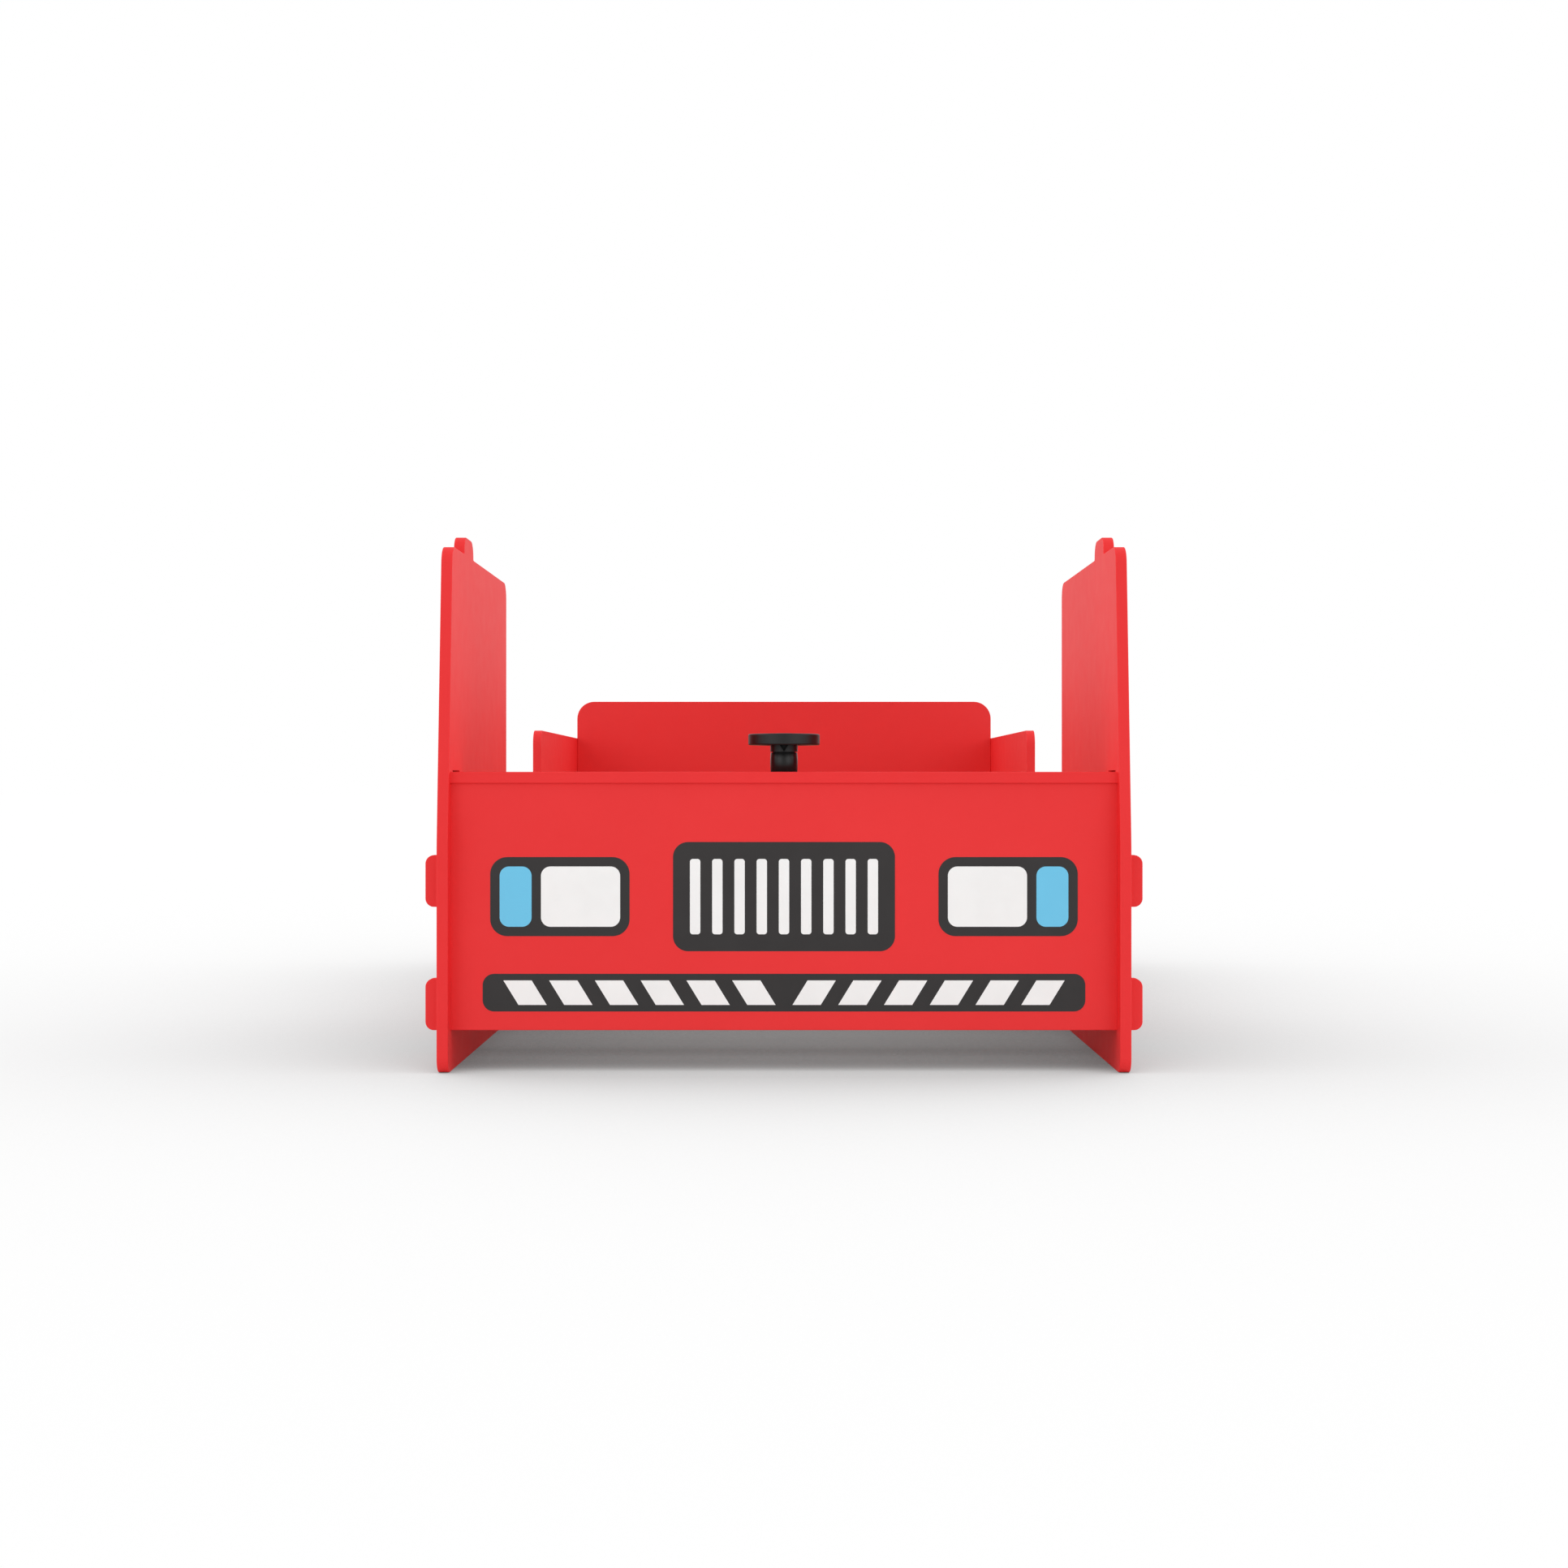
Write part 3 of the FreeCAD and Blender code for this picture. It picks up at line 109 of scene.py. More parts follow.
# Wood: where the log's heart lies from a board, how far that varies, and the width of a lone board's cell.
HEART_AWAY = (0.07, 0.05, 0.08)
HEART_SPREAD = (0.06, 0.06, 0.05)
HALF_CHANCE = (0.5, 0.5, 0.5)
WIDE = 20.0
ROW_DIGITS = 4
# Growth rings: their scale, how they waver, and their colours from pale early wood to dark late wood.
RING_SCALE = 60.0
RING_DISTORTION = 1.6
RING_DETAIL_SCALE = 0.6
RING_PLACES = (0.00, 0.45, 0.84, 0.95, 1.00)
RING_COLORS = (
    (0.73, 0.56, 0.37), (0.70, 0.53, 0.34), (0.61, 0.43, 0.25), (0.62, 0.44, 0.26), (0.73, 0.56, 0.37),
)
# How the log wanders sideways along its length: the scale, and the width in metres.
WANDER_SCALE = 5.0
WANDER_WIDTH = 0.06
WOOD_FIBRE = 1400.0
# The wood is drawn out along the grain: what is left there of the pace of each texture.
WANDER_PACE_SHARE = 0.35
RING_PACE_SHARE = 0.05
FIBRE_PACE_SHARE = 0.02
WOOD_BUMP = (0.22, 0.00015)
WOOD_ROUGHNESS = (0.48, 0.64)
# Dark pores: their colour, the span of the fibres' texture over which they come in, and their most.
PORE_COLOR = (0.50, 0.33, 0.18)
PORE_FIBRES = (0.45, 0.75)
PORE_SHARE = 0.30
# The palest boards, and the end grain, which comes in as a surface turns to look along the grain.
PALE_COLOR = (0.78, 0.65, 0.46)
PALE_SHARE = 0.30
END_COLOR = (0.45, 0.30, 0.16)
END_FACING = (0.4, 0.9)
END_SHARE = 0.45

# Plastic: clouds of colour, the spark-eroded grain, and how far the roughness varies down and up.
PLASTIC_CLOUD = 90.0
SPARK_GRAIN = 2600.0
GRAIN_DEPTH = 0.00006
SMOOTHER = 0.04
ROUGHER = 0.05
# Its corners: their reach, how open they are where they are dullest and where that ends, and how dull.
CORNER_REACH = 0.012
CORNER_SAMPLES = 8
CORNER_OPENNESS = (0.15, 0.65)
CORNER_DULL = 0.5
# The slope that a swelling side ends in.
SWELL_SLOPE = 0.25

# Zinc plate and vinyl film.
ZINC_BLOTCH = 450.0
ZINC_BUMP = (0.08, 0.00005)
ZINC_ROUGHNESS = (0.24, 0.40)
FILM_CLOUD = 30.0
FILM_WAVE = 160.0
FILM_BUMP = (0.06, 0.0002)
FILM_ROUGHNESS = (0.43, 0.47)

# Screws and bolt: the points round them, the steps in each turn of a thread, how steep its flanks are, and
# the share of its length that it takes to rise and to die away.
ROUND_SEGMENTS = 24
THREAD_STEPS = 5
FLANK_STEEPNESS = 1.6
THREAD_FADE_SHARE = 0.25

# Screws: shares of the head's radius.
SHANK_SHARE = 0.5
CORE_SHARE = 0.36
HEAD_TOP_SHARE = 0.985
RECESS_ARM_SHARE = 0.58
RECESS_HALF_WIDTH_SHARE = 0.16
RECESS_DEPTH_SHARE = 0.42
# Shares of the countersink's depth, of the recess's mouth, and of the screw's length above its tip.
HEAD_RIM_SHARE = 0.06
RECESS_FLOOR_SHARE = 0.45
THREAD_LENGTH_SHARE = 0.66
THREAD_PITCH = 0.0018
TIP_LENGTH = 0.003
RECESS_TURN_DEG = 37.0

# Pivot bolt: the radii of shank and core, the head, the thread, the socket, and the dome of the head.
BOLT_SHANK = 0.003
BOLT_CORE = 0.00255
BOLT_HEAD = 0.0025
BOLT_PITCH = 0.001
BOLT_THREAD = 0.016
BOLT_CHAMFER = 0.0006
SOCKET_SIDES = 6
SOCKET_RADIUS = 0.0023
SOCKET_DEPTH = 0.0016
DOME_STEPS = 5
DOME_DEG = 60.0
DOME_NARROWING_SHARE = 0.35

# Lock nut: the collar's height is a share of the nut's, its bend is a share of the collar's height, and
# the radii are shares of the way from the middle to a flat.
NUT_SIDES = 6
NUT_SEGMENTS = 48
NUT_CHAMFER_DEG = 30.0
NUT_LAND_SHARE = 0.97
COLLAR_HEIGHT_SHARE = 0.28
COLLAR_BEND_SHARE = 0.35
COLLAR_SHARE = 0.90
COLLAR_END_SHARE = 0.82
COLLAR_MOUTH_SHARE = 0.76
NYLON_DEPTH = 0.0004

# Meshes: points nearer than this are one, and an edge that turns more than this is sharp.
WELD = 1e-6
SHARP_DEG = 35.0

# The mix node's sockets for colours, which share their names with those for numbers and vectors.
MIX_FIRST = 6
MIX_SECOND = 7
MIX_RESULT = 2


class Graph:
    """A node material under construction."""

    def __init__(self, name):
        self.material = bpy.data.materials.new(name)
        self.material.use_nodes = True
        self.tree = self.material.node_tree
        self.tree.nodes.clear()
        self.output = self.add("ShaderNodeOutputMaterial")
        self.coordinates = self.add("ShaderNodeTexCoord")
        self.place = self.coordinates.outputs["Object"]

    def add(self, kind, **settings):
        node = self.tree.nodes.new(kind)
        for name, value in settings.items():
            setattr(node, name, value)
        return node

    def link(self, source, target):
        self.tree.links.new(source, target)

    def feed(self, target, value):
        """Give an input a value or the output of another node."""
        if isinstance(value, bpy.types.NodeSocket):
            self.link(value, target)
        else:
            target.default_value = value

    def math(self, operation, first, second=0.0):
        node = self.add("ShaderNodeMath", operation=operation)
        self.feed(node.inputs[0], first)
        self.feed(node.inputs[1], second)
        return node.outputs["Value"]

    def vector(self, operation, first, second):
        node = self.add("ShaderNodeVectorMath", operation=operation)
        self.feed(node.inputs[0], first)
        self.feed(node.inputs[1], second)
        return node.outputs["Value" if operation == "DOT_PRODUCT" else "Vector"]

    def noise(self, scale, detail=2.0, roughness=0.5, vector=None, output="Fac"):
        node = self.add("ShaderNodeTexNoise")
        self.link(vector or self.place, node.inputs["Vector"])
        node.inputs["Scale"].default_value = scale
        node.inputs["Detail"].default_value = detail
        node.inputs["Roughness"].default_value = roughness
        return node.outputs[output]

    def ramp(self, factor, places, colors):
        """A colour ramp with a colour at each of its places."""
        node = self.add("ShaderNodeValToRGB")
        elements = node.color_ramp.elements
        while len(elements) < len(places):
            elements.new(0.5)
        for element, place, color in zip(elements, places, colors):
            element.position = place
            element.color = (*color, 1.0)
        self.link(factor, node.inputs["Fac"])
        return node.outputs["Color"]

    def span(self, factor, low, high, start=0.0, end=1.0):
        """The factor between start and end spread over low to high."""
        node = self.add("ShaderNodeMapRange")
        self.link(factor, node.inputs["Value"])
        node.inputs["From Min"].default_value = start
        node.inputs["From Max"].default_value = end
        node.inputs["To Min"].default_value = low
        node.inputs["To Max"].default_value = high
        return node.outputs["Result"]

    def mixed(self, factor, first, second):
        """Two colours, each a value or the output of another node, mixed by a node's output."""
        node = self.add("ShaderNodeMix", data_type="RGBA")
        self.link(factor, node.inputs["Factor"])
        for number, color in ((MIX_FIRST, first), (MIX_SECOND, second)):
            if not isinstance(color, bpy.types.NodeSocket):
                color = (*color, 1.0)
            self.feed(node.inputs[number], color)
        return node.outputs[MIX_RESULT]

    def blended(self, factor, first, second):
        """Two shaders mixed by a factor."""
        node = self.add("ShaderNodeMixShader")
        self.feed(node.inputs["Fac"], factor)
        self.link(first, node.inputs[1])
        self.link(second, node.inputs[2])
        return node.outputs["Shader"]

    def bump(self, height, strength, depth, below=None):
        node = self.add("ShaderNodeBump")
        self.feed(node.inputs["Strength"], strength)
        node.inputs["Distance"].default_value = depth
        self.link(height, node.inputs["Height"])
        if below:
            self.link(below, node.inputs["Normal"])
        return node.outputs["Normal"]

    def facing(self, axis):
        """1 where the surface faces along an axis, 0 where it faces across it."""
        along = self.vector("DOT_PRODUCT", self.coordinates.outputs["Normal"], axis)
        return self.math("ABSOLUTE", along)

    def surface(self, color, roughness, normal, **fixed):
        """The finished Principled shader; fixed values go straight to its sockets."""
        shader = self.add("ShaderNodeBsdfPrincipled")
        self.link(color, shader.inputs["Base Color"])
        self.link(roughness, shader.inputs["Roughness"])
        self.link(normal, shader.inputs["Normal"])
        for name, value in fixed.items():
            shader.inputs[name.replace("_", " ")].default_value = value
        self.link(shader.outputs["BSDF"], self.output.inputs["Surface"])
        return self.material


def painted_board(name, through):
    """Satin red paint rolled on board: faint orange peel on the faces, a drier skin on the cut edges.

    through is the axis that the board's thickness lies along.
    """
    graph = Graph(name)
    cut_edge = graph.span(graph.facing(through), 1.0, 0.0, *EDGE_FACING)
    color = graph.ramp(graph.noise(PAINT_CLOUD, detail=3.0), GENTLE_RAMP, RED_PAINT)
    waves = graph.noise(ROLLER_WAVE, detail=1.0)
    peel = graph.noise(ORANGE_PEEL, detail=1.0)
    fibre = graph.noise(EDGE_FIBRE, roughness=0.6)
    normal = graph.bump(waves, *ROLLER_BUMP)
    normal = graph.bump(peel, *PEEL_BUMP, below=normal)
    normal = graph.bump(fibre, graph.math("MULTIPLY", cut_edge, FIBRE_STRENGTH), FIBRE_DEPTH, below=normal)
    rolled = graph.span(waves, *PAINT_ROUGHNESS)
    dry = graph.math("MULTIPLY", cut_edge, DRY_EDGE)
    return graph.surface(color, graph.math("ADD", rolled, dry), normal)


def planed_wood(name, along, boards):
    """Pale planed pine with growth rings, each board sawn from another place beside the log's heart.

    along is the axis that the grain runs on, and boards are the CAD nodes that share the material.
    """
    graph = Graph(name)
    grain_axis = AXES[along]
    middles = [sum(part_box(board), Vector()) / 2 for board in boards]
    cell = []
    first = []
    for axis in range(3):
        rows = sorted({round(middle[axis], ROW_DIGITS) for middle in middles})
        cell.append(rows[1] - rows[0] if len(rows) > 1 else WIDE)
        first.append(rows[0] - cell[-1] / 2)
    from_first = graph.vector("SUBTRACT", graph.place, tuple(first))
    corner = graph.vector("SNAP", from_first, tuple(cell))
    in_cell = graph.vector("SUBTRACT", from_first, corner)
    own = graph.vector("SUBTRACT", in_cell, tuple(size / 2 for size in cell))
    chance = graph.add("ShaderNodeTexWhiteNoise", noise_dimensions="3D")
    graph.link(corner, chance.inputs["Vector"])
    either_way = graph.vector("SUBTRACT", chance.outputs["Color"], HALF_CHANCE)
    spread = graph.vector("MULTIPLY", either_way, HEART_SPREAD)
    log = graph.vector("ADD", graph.vector("ADD", own, spread), HEART_AWAY)

    def drawn_out(pace_share):
        return graph.vector("MULTIPLY", log, tuple(pace_share if part else 1.0 for part in grain_axis))

    wander = graph.noise(WANDER_SCALE, vector=drawn_out(WANDER_PACE_SHARE), output="Color")
    aside = graph.vector("MULTIPLY", wander, tuple(0.0 if part else WANDER_WIDTH for part in grain_axis))
    rings = graph.add("ShaderNodeTexWave", wave_type="RINGS", rings_direction=along, wave_profile="SAW")
    graph.link(graph.vector("ADD", drawn_out(RING_PACE_SHARE), aside), rings.inputs["Vector"])
    rings.inputs["Scale"].default_value = RING_SCALE
    rings.inputs["Distortion"].default_value = RING_DISTORTION
    rings.inputs["Detail"].default_value = 2.0
    rings.inputs["Detail Scale"].default_value = RING_DETAIL_SCALE
    color = graph.ramp(rings.outputs["Fac"], RING_PLACES, RING_COLORS)
    fibres = graph.noise(WOOD_FIBRE, roughness=0.6, vector=drawn_out(FIBRE_PACE_SHARE))
    pores = graph.span(fibres, 0.0, PORE_SHARE, *PORE_FIBRES)
    paleness = graph.span(chance.outputs["Value"], 0.0, PALE_SHARE)
    end_grain = graph.span(graph.facing(grain_axis), 0.0, END_SHARE, *END_FACING)
    for share, other in ((pores, PORE_COLOR), (paleness, PALE_COLOR), (end_grain, END_COLOR)):
        color = graph.mixed(share, color, other)
    normal = graph.bump(fibres, *WOOD_BUMP)
    return graph.surface(color, graph.span(fibres, *WOOD_ROUGHNESS), normal)


def moulded_plastic(name, colors, roughness, grain, gloss, swelling=None):
    """Moulded plastic with a fine spark-eroded grain, duller in its corners, which no polish reaches.

    swelling names a node whose upright side swells a little; its shading shows that more.
    """
    graph = Graph(name)
    cloud = graph.noise(PLASTIC_CLOUD)
    color = graph.mixed(cloud, *colors)
    normal = graph.bump(graph.noise(SPARK_GRAIN, detail=1.0), grain, GRAIN_DEPTH)
    if swelling:
        low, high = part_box(swelling)
        height = graph.vector("DOT_PRODUCT", graph.place, Z_AXIS)
        up = graph.math("SUBTRACT", height, (low.z + high.z) / 2)
        bulge = graph.math("MULTIPLY", graph.math("MULTIPLY", up, up), -SWELL_SLOPE / (high.z - low.z))
        normal = graph.bump(bulge, 1.0, 1.0, below=normal)
    corner = graph.add("ShaderNodeAmbientOcclusion", samples=CORNER_SAMPLES)
    corner.inputs["Distance"].default_value = CORNER_REACH
    dull = graph.span(corner.outputs["AO"], CORNER_DULL, 0.0, *CORNER_OPENNESS)
    satin = graph.span(cloud, roughness - SMOOTHER, roughness + ROUGHER)
    return graph.surface(color, graph.math("ADD", satin, dull), normal, Specular_IOR_Level=gloss)


def zinc_steel(name):
    """Bright zinc plate with the soft blotches of the bath."""
    graph = Graph(name)
    blotch = graph.noise(ZINC_BLOTCH, detail=3.0, roughness=0.6)
    color = graph.ramp(blotch, STEEPER_RAMP, ZINC)
    normal = graph.bump(blotch, *ZINC_BUMP)
    return graph.surface(color, graph.span(blotch, *ZINC_ROUGHNESS), normal, Metallic=1.0)


def cut_vinyl(name, colors):
    """Satin vinyl film that lies down on the paint, with its slight unevenness."""
    graph = Graph(name)
    cloud = graph.noise(FILM_CLOUD, detail=3.0)
    color = graph.ramp(cloud, STEEPER_RAMP, colors)
    normal = graph.bump(graph.noise(FILM_WAVE, detail=1.0), *FILM_BUMP)
    return graph.surface(color, graph.span(cloud, *FILM_ROUGHNESS), normal)


def dress(names, material):
    """Give CAD nodes a material."""
    for name in names:
        mesh = nodes[name].data
        mesh.materials.clear()
        mesh.materials.append(material)


def named(*stems):
    """The CAD nodes whose names begin with one of the stems."""
    return [name for name in sorted(nodes) if name.startswith(stems)]


def ring(bm, radius, height, segments):
    """A closed row of points; radius and height are numbers or functions of the angle."""
    points = []
    for step in range(segments):
        turn = math.tau * step / segments
        out = radius(turn) if callable(radius) else radius
        up = height(turn) if callable(height) else height
        points.append(bm.verts.new((out * math.cos(turn), out * math.sin(turn), up)))
    return points


def skin(bm, rows, material_index=0):
    """Faces between each row of points and the next, which has as many points."""
    for low, high in zip(rows, rows[1:]):
        for step in range(len(low)):
            after = (step + 1) % len(low)
            face = bm.faces.new((low[step], low[after], high[after], high[step]))
            face.material_index = material_index


def thread_rows(bm, core, crest, pitch, low, high):
    """Rows of points of a right-hand screw thread between two heights."""
    count = max(2, round((high - low) / pitch * THREAD_STEPS))

    def radius_at(up, fade):
        def radius(turn):
            place = (up / pitch - turn / math.tau) % 1.0
            tooth = max(0.0, 1.0 - abs(2.0 * place - 1.0) * FLANK_STEEPNESS)
            return core + (crest - core) * tooth * fade
        return radius

    rows = []
    for step in range(count + 1):
        share = step / count
        up = low + (high - low) * share
        fade = min(1.0, share / THREAD_FADE_SHARE, (1.0 - share) / THREAD_FADE_SHARE)
        rows.append(ring(bm, radius_at(up, fade), up, ROUND_SEGMENTS))
    return rows


def recessed_top(bm, rim, outline, height, depth, floor_share):
    """Fill a round top round a recess: outline in plan, walls down to a floor of the same form."""
    mouth = [bm.verts.new((x, y, height)) for x, y in outline]
    floor = [bm.verts.new((x * floor_share, y * floor_share, height - depth)) for x, y in outline]
    edges = []
    for loop in (rim, mouth):
        for here, there in zip(loop, loop[1:] + loop[:1]):
            edges.append(bm.edges.get((here, there)) or bm.edges.new((here, there)))
    bmesh.ops.triangle_fill(bm, use_beauty=True, edges=edges)
    skin(bm, [mouth, floor])
    bm.faces.new(floor)


def cross_outline(arm, half_width):
    """The twelve corners of a cross recess."""
    quarter = [(arm, -half_width), (arm, half_width), (half_width, half_width)]
    corners = []
    for step in range(4):
        turn = Matrix.Rotation(math.tau * step / 4, 2)
        corners += [tuple(turn @ Vector(corner)) for corner in quarter]
    return corners


def polygon(sides, radius):
    """The corners of a regular polygon."""
    turns = [math.tau * step / sides for step in range(sides)]
    return [(radius * math.cos(turn), radius * math.sin(turn)) for turn in turns]


def finished(bm, name):
    """The mesh of a closed form, its faces outward and smooth up to sharp edges."""
    bmesh.ops.recalc_face_normals(bm, faces=bm.faces)
    for face in bm.faces:
        face.smooth = True
    mesh = bpy.data.meshes.new(name)
    bm.to_mesh(mesh)
    bm.free()
    mesh.set_sharp_from_angle(angle=math.radians(SHARP_DEG))
    return mesh


def screw_mesh(name, length, head_radius):
    """A countersunk wood screw with a cross recess, its head at the origin and facing +Z."""
    bm = bmesh.new()
    shank = head_radius * SHANK_SHARE
    head_depth = head_radius - shank
    thread_foot = TIP_LENGTH - length
    thread_top = thread_foot * (1.0 - THREAD_LENGTH_SHARE)
    point = bm.verts.new((0.0, 0.0, -length))
    rows = thread_rows(bm, head_radius * CORE_SHARE, shank, THREAD_PITCH, thread_foot, thread_top)
    for step in range(ROUND_SEGMENTS):
        bm.faces.new((point, rows[0][(step + 1) % ROUND_SEGMENTS], rows[0][step]))
    profile = (
        (shank, thread_top + THREAD_PITCH), (shank, -head_depth),
        (head_radius, -head_depth * HEAD_RIM_SHARE), (head_radius * HEAD_TOP_SHARE, 0.0),
    )
    rows += [ring(bm, radius, up, ROUND_SEGMENTS) for radius, up in profile]
    skin(bm, rows)
    outline = cross_outline(head_radius * RECESS_ARM_SHARE, head_radius * RECESS_HALF_WIDTH_SHARE)
    recessed_top(bm, rows[-1], outline, 0.0, head_radius * RECESS_DEPTH_SHARE, RECESS_FLOOR_SHARE)
    return finished(bm, name)


def solids(name):
    """The points of each separate solid of a CAD node."""
    bm = bmesh.new()
    bm.from_mesh(nodes[name].data)
    bmesh.ops.remove_doubles(bm, verts=bm.verts, dist=WELD)
    groups = []
    seen = set()
    for start in bm.verts:
        if start in seen:
            continue
        group = []
        waiting = [start]
        seen.add(start)
        while waiting:
            vert = waiting.pop()
            group.append(vert.co.copy())
            for edge in vert.link_edges:
                other = edge.other_vert(vert)
                if other not in seen:
                    seen.add(other)
                    waiting.append(other)
        groups.append(group)
    bm.free()
    return groups


def screw_seat(points):
    """Where a CAD screw's head is, the way it faces, its length and the radius of its head."""
    low = Vector([min(point[axis] for point in points) for axis in range(3)])
    high = Vector([max(point[axis] for point in points) for axis in range(3)])
    spans = high - low
    middle = (low + high) / 2
    axis = max(range(3), key=lambda number: spans[number])
    widest = max(points, key=lambda point: sum(
        (point[number] - middle[number]) ** 2 for number in range(3) if number != axis))
    facing = Vector((0.0, 0.0, 0.0))
    facing[axis] = 1.0 if widest[axis] > middle[axis] else -1.0
    return middle + facing * spans[axis] / 2, facing, spans[axis], min(spans) / 2


def stand_for(name, mesh, node, body, slot, *materials):
    """A new piece in place of a CAD node, on the same body."""
    piece = bpy.data.objects.new(name, mesh)
    bpy.context.scene.collection.objects.link(piece)
    for material in materials:
        mesh.materials.append(material)
    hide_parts(node)
    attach(piece, body)


def build_screws(node, name, steel):
    """The real screws in place of a CAD group of screws, each recess turned another way."""
    bm = bmesh.new()
    template = None
    for number, points in enumerate(solids(node)):
        place, facing, length, head_radius = screw_seat(points)
        if template is None:
            template = screw_mesh(f"{name}_template", length, head_radius)
        start = len(bm.verts)
        bm.from_mesh(template)
        bm.verts.ensure_lookup_table()
        turn = Matrix.Rotation(math.radians(RECESS_TURN_DEG * number), 4, "Z")
        aim = facing.to_track_quat("Z", "Y").to_matrix().to_4x4()
        bmesh.ops.transform(bm, matrix=Matrix.Translation(place) @ aim @ turn, verts=bm.verts[start:])
    mesh = bpy.data.meshes.new(name)
    bm.to_mesh(mesh)
    bm.free()
    bpy.data.meshes.remove(template)
    stand_for(name, mesh, node, "bed", "zinc_steel", steel)


def move_over(mesh, low, high):
    """Move a mesh that was made round the Z axis over the middle of a box."""
    centre = (low + high) / 2
    mesh.transform(Matrix.Translation((centre.x, centre.y, 0.0)))


def build_pivot_bolt(steel):
    """A button-head bolt with a hexagon socket, threaded at its lower end."""
    low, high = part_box("pivot_bolt")
    head_radius = (high.x - low.x) / 2
    head_foot = high.z - BOLT_HEAD
    thread_top = low.z + BOLT_THREAD
    dome = math.radians(DOME_DEG)
    bm = bmesh.new()
    end = ring(bm, BOLT_CORE - BOLT_CHAMFER, low.z, ROUND_SEGMENTS)
    bm.faces.new(end)
    rows = [end]
    rows += thread_rows(bm, BOLT_CORE, BOLT_SHANK, BOLT_PITCH, low.z + BOLT_CHAMFER, thread_top)
    rows.append(ring(bm, BOLT_SHANK, thread_top + BOLT_PITCH, ROUND_SEGMENTS))
    rows.append(ring(bm, BOLT_SHANK, head_foot, ROUND_SEGMENTS))
    for step in range(DOME_STEPS + 1):
        share = step / DOME_STEPS
        radius = head_radius * (1.0 - DOME_NARROWING_SHARE * share ** 2)
        up = head_foot + BOLT_HEAD * math.sin(dome * share) / math.sin(dome)
        rows.append(ring(bm, radius, up, ROUND_SEGMENTS))
    skin(bm, rows)
    recessed_top(bm, rows[-1], polygon(SOCKET_SIDES, SOCKET_RADIUS), high.z, SOCKET_DEPTH, 1.0)
    mesh = finished(bm, "pivot_bolt_threaded")
    move_over(mesh, low, high)
    stand_for("pivot_bolt_threaded", mesh, "pivot_bolt", "bed", "zinc_steel", steel)


def build_lock_nut(steel, nylon):
    """A hexagon nut with chamfered corners and a collar that holds a nylon ring."""
    low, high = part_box("lock_nut")
    sector = math.tau / NUT_SIDES
    flat = (high.x - low.x) / 2 * math.cos(sector / 2)
    collar = (high.z - low.z) * COLLAR_HEIGHT_SHARE
    hex_foot = low.z + collar
    chamfer = math.tan(math.radians(NUT_CHAMFER_DEG))

    def hexagon(turn):
        return flat / math.cos((turn + sector / 2) % sector - sector / 2)

    def upper(turn):
        return high.z - (hexagon(turn) - flat) * chamfer

    def lower(turn):
        return hex_foot + (hexagon(turn) - flat) * chamfer

    bm = bmesh.new()
    profile = (
        (BOLT_SHANK, high.z), (flat * NUT_LAND_SHARE, high.z), (hexagon, upper), (hexagon, lower),
        (flat * NUT_LAND_SHARE, hex_foot), (flat * COLLAR_SHARE, hex_foot),
        (flat * COLLAR_SHARE, low.z + collar * COLLAR_BEND_SHARE), (flat * COLLAR_END_SHARE, low.z),
        (flat * COLLAR_MOUTH_SHARE, low.z), (flat * COLLAR_MOUTH_SHARE, low.z + NYLON_DEPTH),
        (BOLT_SHANK, low.z + NYLON_DEPTH),
    )
    rows = [ring(bm, radius, up, NUT_SEGMENTS) for radius, up in profile]
    skin(bm, rows[:-1])
    skin(bm, rows[-2:], material_index=1)
    skin(bm, [rows[-1], rows[0]])
    mesh = finished(bm, "lock_nut_with_nylon")
    move_over(mesh, low, high)
    stand_for("lock_nut_with_nylon", mesh, "lock_nut", "bed", "zinc_steel", steel, nylon)


def light_ray(tree, names):
    """Whether a ray is one of the named kinds: 1 or 0."""
    path = tree.nodes.new("ShaderNodeLightPath")
    total = path.outputs[names[0]]
    for name in names[1:]:
        either = tree.nodes.new("ShaderNodeMath")
        either.operation = "MAXIMUM"
        tree.links.new(total, either.inputs[0])
        tree.links.new(path.outputs[name], either.inputs[1])
        total = either.outputs[0]
    return total


def build_world():
    """An even white studio; it looks pure white to the camera and in reflections."""
    world = bpy.data.worlds.new("studio")
    bpy.context.scene.world = world
    world.use_nodes = True
    tree = world.node_tree
    tree.nodes.clear()
    output = tree.nodes.new("ShaderNodeOutputWorld")
    background = tree.nodes.new("ShaderNodeBackground")
    background.inputs["Color"].default_value = WHITE
    strength = tree.nodes.new("ShaderNodeMapRange")
    strength.inputs["To Min"].default_value = STUDIO_LEVEL
    strength.inputs["To Max"].default_value = 1.0
    tree.links.new(light_ray(tree, SEEN_RAYS), strength.inputs["Value"])
    tree.links.new(strength.outputs["Result"], background.inputs["Strength"])
    tree.links.new(background.outputs["Background"], output.inputs["Surface"])


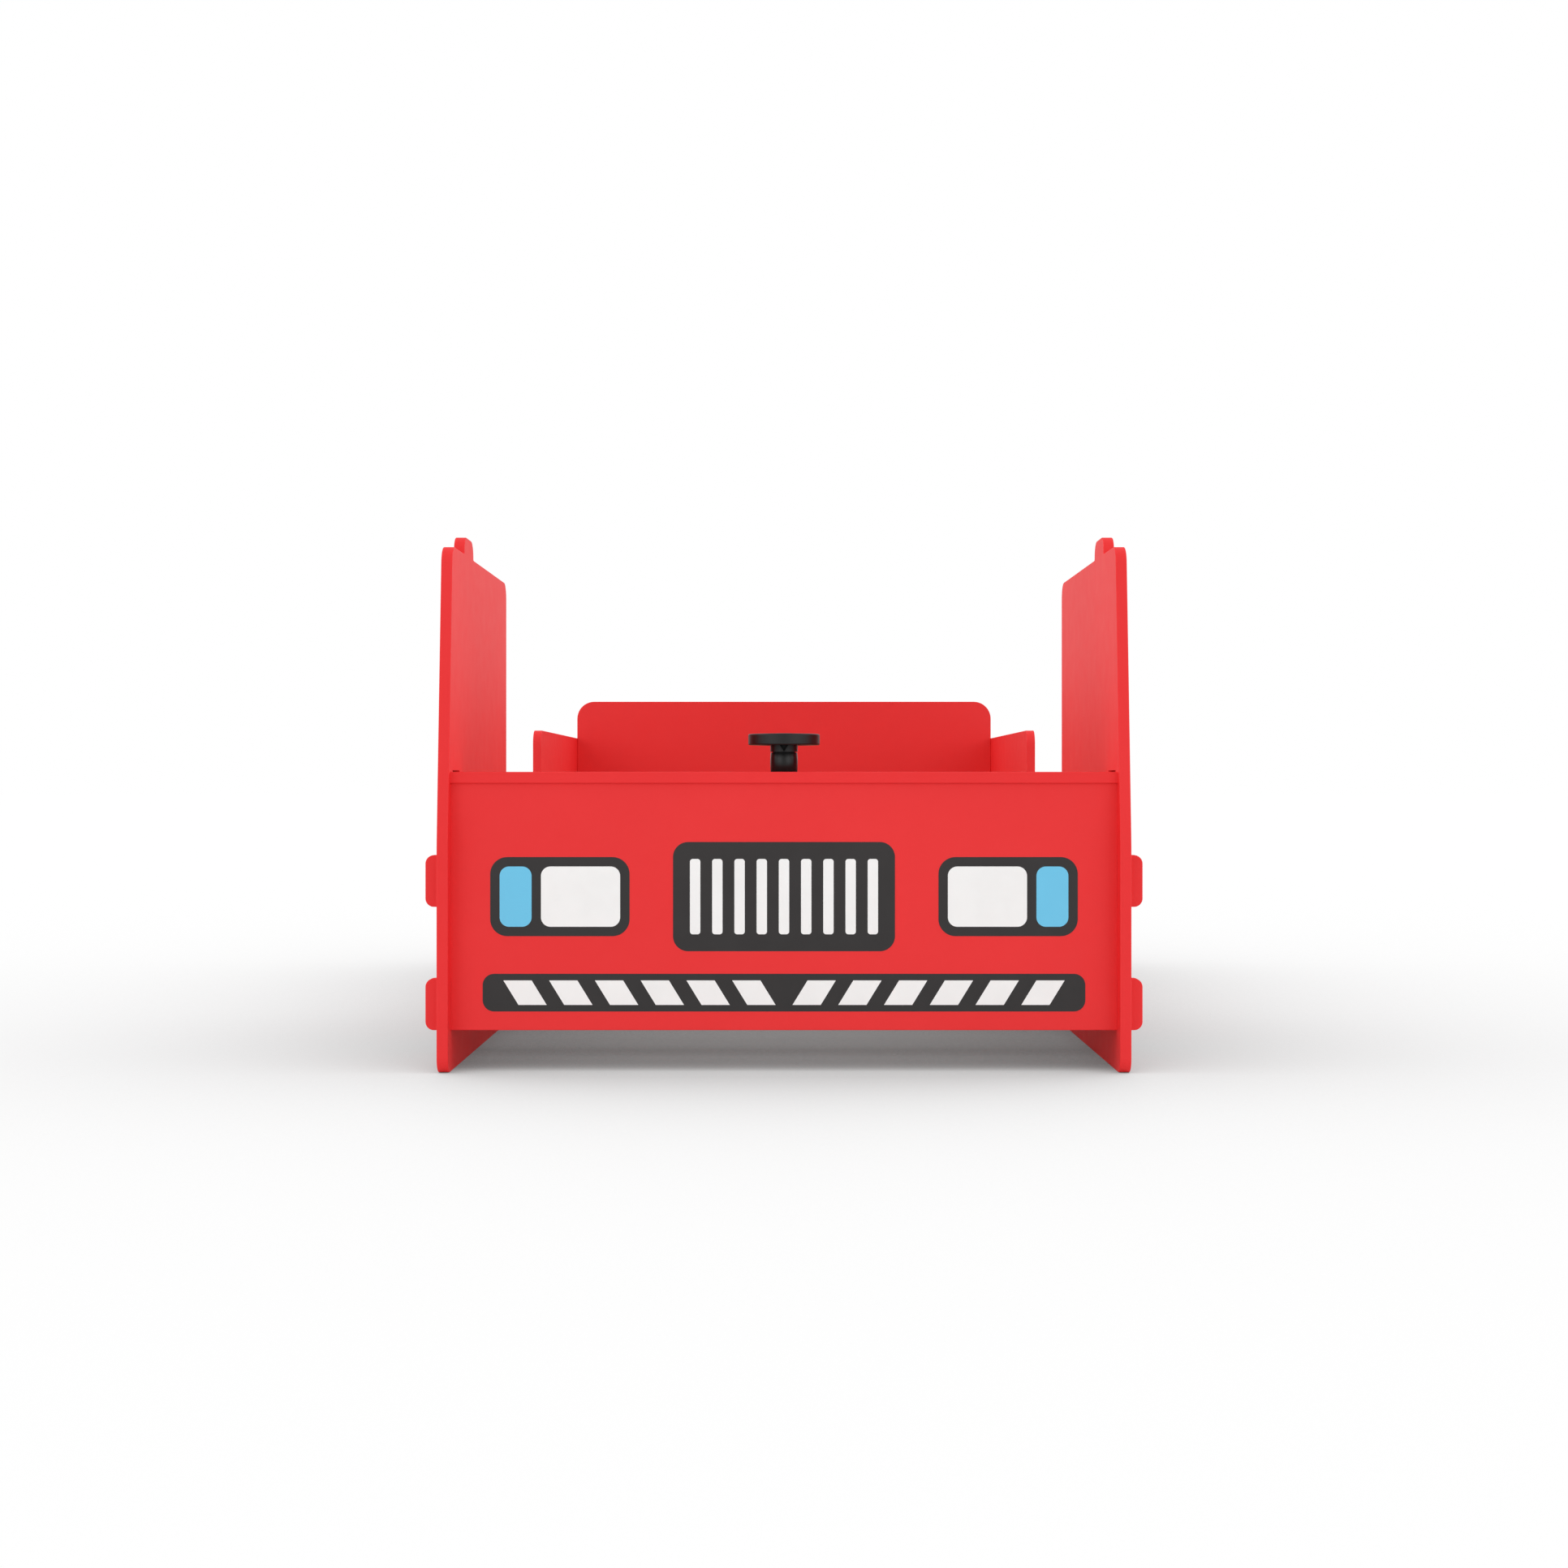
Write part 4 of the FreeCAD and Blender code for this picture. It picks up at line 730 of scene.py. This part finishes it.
def floor_material():
    """White that shows the bed's soft shade from above, lights the bed, and is clear from underneath."""
    graph = Graph("studio_floor")
    shade = graph.add("ShaderNodeAmbientOcclusion", samples=SHADE_SAMPLES)
    shade.inputs["Distance"].default_value = SHADE_REACH
    shown = graph.add("ShaderNodeEmission")
    graph.link(graph.span(shade.outputs["AO"], SHADE_FILL, 1.0), shown.inputs["Strength"])
    true = graph.add("ShaderNodeBsdfDiffuse")
    true.inputs["Color"].default_value = WHITE
    seen = graph.blended(FLOOR_TRUE_SHARE, shown.outputs["Emission"], true.outputs["BSDF"])
    bounce = graph.add("ShaderNodeBsdfDiffuse")
    bounce.inputs["Color"].default_value = (FLOOR_BOUNCE, FLOOR_BOUNCE, FLOOR_BOUNCE, 1.0)
    above = graph.blended(light_ray(graph.tree, SEEN_RAYS), bounce.outputs["BSDF"], seen)
    clear = graph.add("ShaderNodeBsdfTransparent")
    geometry = graph.add("ShaderNodeNewGeometry")
    floor = graph.blended(geometry.outputs["Backfacing"], above, clear.outputs["BSDF"])
    graph.link(floor, graph.output.inputs["Surface"])
    return graph.material


def build_floor():
    """A wide floor for the bed to stand on."""
    mesh = bpy.data.meshes.new("floor")
    corners = [(side * FLOOR_HALF, end * FLOOR_HALF, FLOOR_HEIGHT)
               for side, end in ((-1.0, -1.0), (1.0, -1.0), (1.0, 1.0), (-1.0, 1.0))]
    mesh.from_pydata(corners, [], [(0, 1, 2, 3)])
    mesh.materials.append(floor_material())
    floor = bpy.data.objects.new("floor", mesh)
    bpy.context.scene.collection.objects.link(floor)


def build_lights():
    """Very soft keys: a pair from the sides, and a low and weaker pair from the front's two corners."""
    for number, (azimuth, height, breadth, strength) in enumerate(KEYS, 1):
        data = bpy.data.lights.new(f"key_{number}", "SUN")
        data.energy = strength
        data.angle = math.radians(breadth)
        key = bpy.data.objects.new(f"key_{number}", data)
        key.rotation_euler = (math.radians(90.0 - height), 0.0, math.radians(azimuth))
        bpy.context.scene.collection.objects.link(key)


def build_camera():
    """A level view along the bed's middle."""
    data = bpy.data.cameras.new("camera")
    data.lens = LENS_MM
    data.sensor_width = SENSOR_MM
    data.clip_end = CAMERA_REACH
    camera = bpy.data.objects.new("camera", data)
    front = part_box("side_panel_left")[0].y
    camera.location = (0.0, front - CAMERA_DISTANCE, CAMERA_HEIGHT)
    camera.rotation_euler = (math.radians(90.0), 0.0, 0.0)
    bpy.context.scene.collection.objects.link(camera)
    bpy.context.scene.camera = camera


# Materials on the CAD nodes.
slats = [name for name in named("slat_") if name.removeprefix("slat_").isdigit()]
rails = named("slat_rail_left", "slat_rail_right")
blocks = named("corner_block_front", "corner_block_rear")
dark_prints = named("grille_decal", "headlamp_decals", "bumper_decal", "tyre_decals", "window_frame_decal")
white_prints = named("grille_bar_decals", "headlamp_lens_decals", "bumper_block_decals", "rim_decals",
                     "stripe_decal", "ladder_decal")
blue_prints = named("marker_lens_decals", "window_glass_decal", "beacon_decal")

steel = zinc_steel("zinc_plate")
nylon = moulded_plastic("dark_washer_nylon", WASHER_BLACK, roughness=0.34, grain=0.05, gloss=0.5)
wheel_plastic = moulded_plastic("black_moulded_plastic", WHEEL_BLACK, roughness=0.42, grain=0.10, gloss=0.34)
column_plastic = moulded_plastic("black_column_plastic", COLUMN_BLACK, roughness=0.32, grain=0.10, gloss=0.30,
                                 swelling="steering_column")

dress(named("side_panel"), painted_board("side_board_paint", X_AXIS))
dress(("front_panel", "headboard_panel"), painted_board("cross_board_paint", Y_AXIS))
dress(("dashboard_shelf",), painted_board("shelf_board_paint", Z_AXIS))
dress(slats, planed_wood("slat_wood", "X", slats))
dress(rails, planed_wood("rail_wood", "Y", rails))
dress(blocks, planed_wood("block_wood", "Z", blocks))
dress(("steering_wheel", "hub_cap"), wheel_plastic)
dress(("steering_column",), column_plastic)
dress(("spacer_washer", "head_washer"), nylon)
dress(("shelf_washer",), steel)
dress(dark_prints, cut_vinyl("dark_vinyl_film", DARK_FILM))
dress(white_prints, cut_vinyl("white_vinyl_film", WHITE_FILM))
dress(blue_prints, cut_vinyl("blue_vinyl_film", BLUE_FILM))

# Fasteners in place of the CAD's plain ones.
build_screws("slat_screws", "slat_screw_set", steel)
build_screws("slat_rail_screws", "slat_rail_screw_set", steel)
build_screws("corner_block_screws", "corner_block_screw_set", steel)
build_screws("column_screws", "column_screw_set", steel)
build_pivot_bolt(steel)
build_lock_nut(steel, nylon)

build_world()
build_floor()
build_lights()
build_camera()
bpy.context.scene.view_settings.view_transform = "Standard"
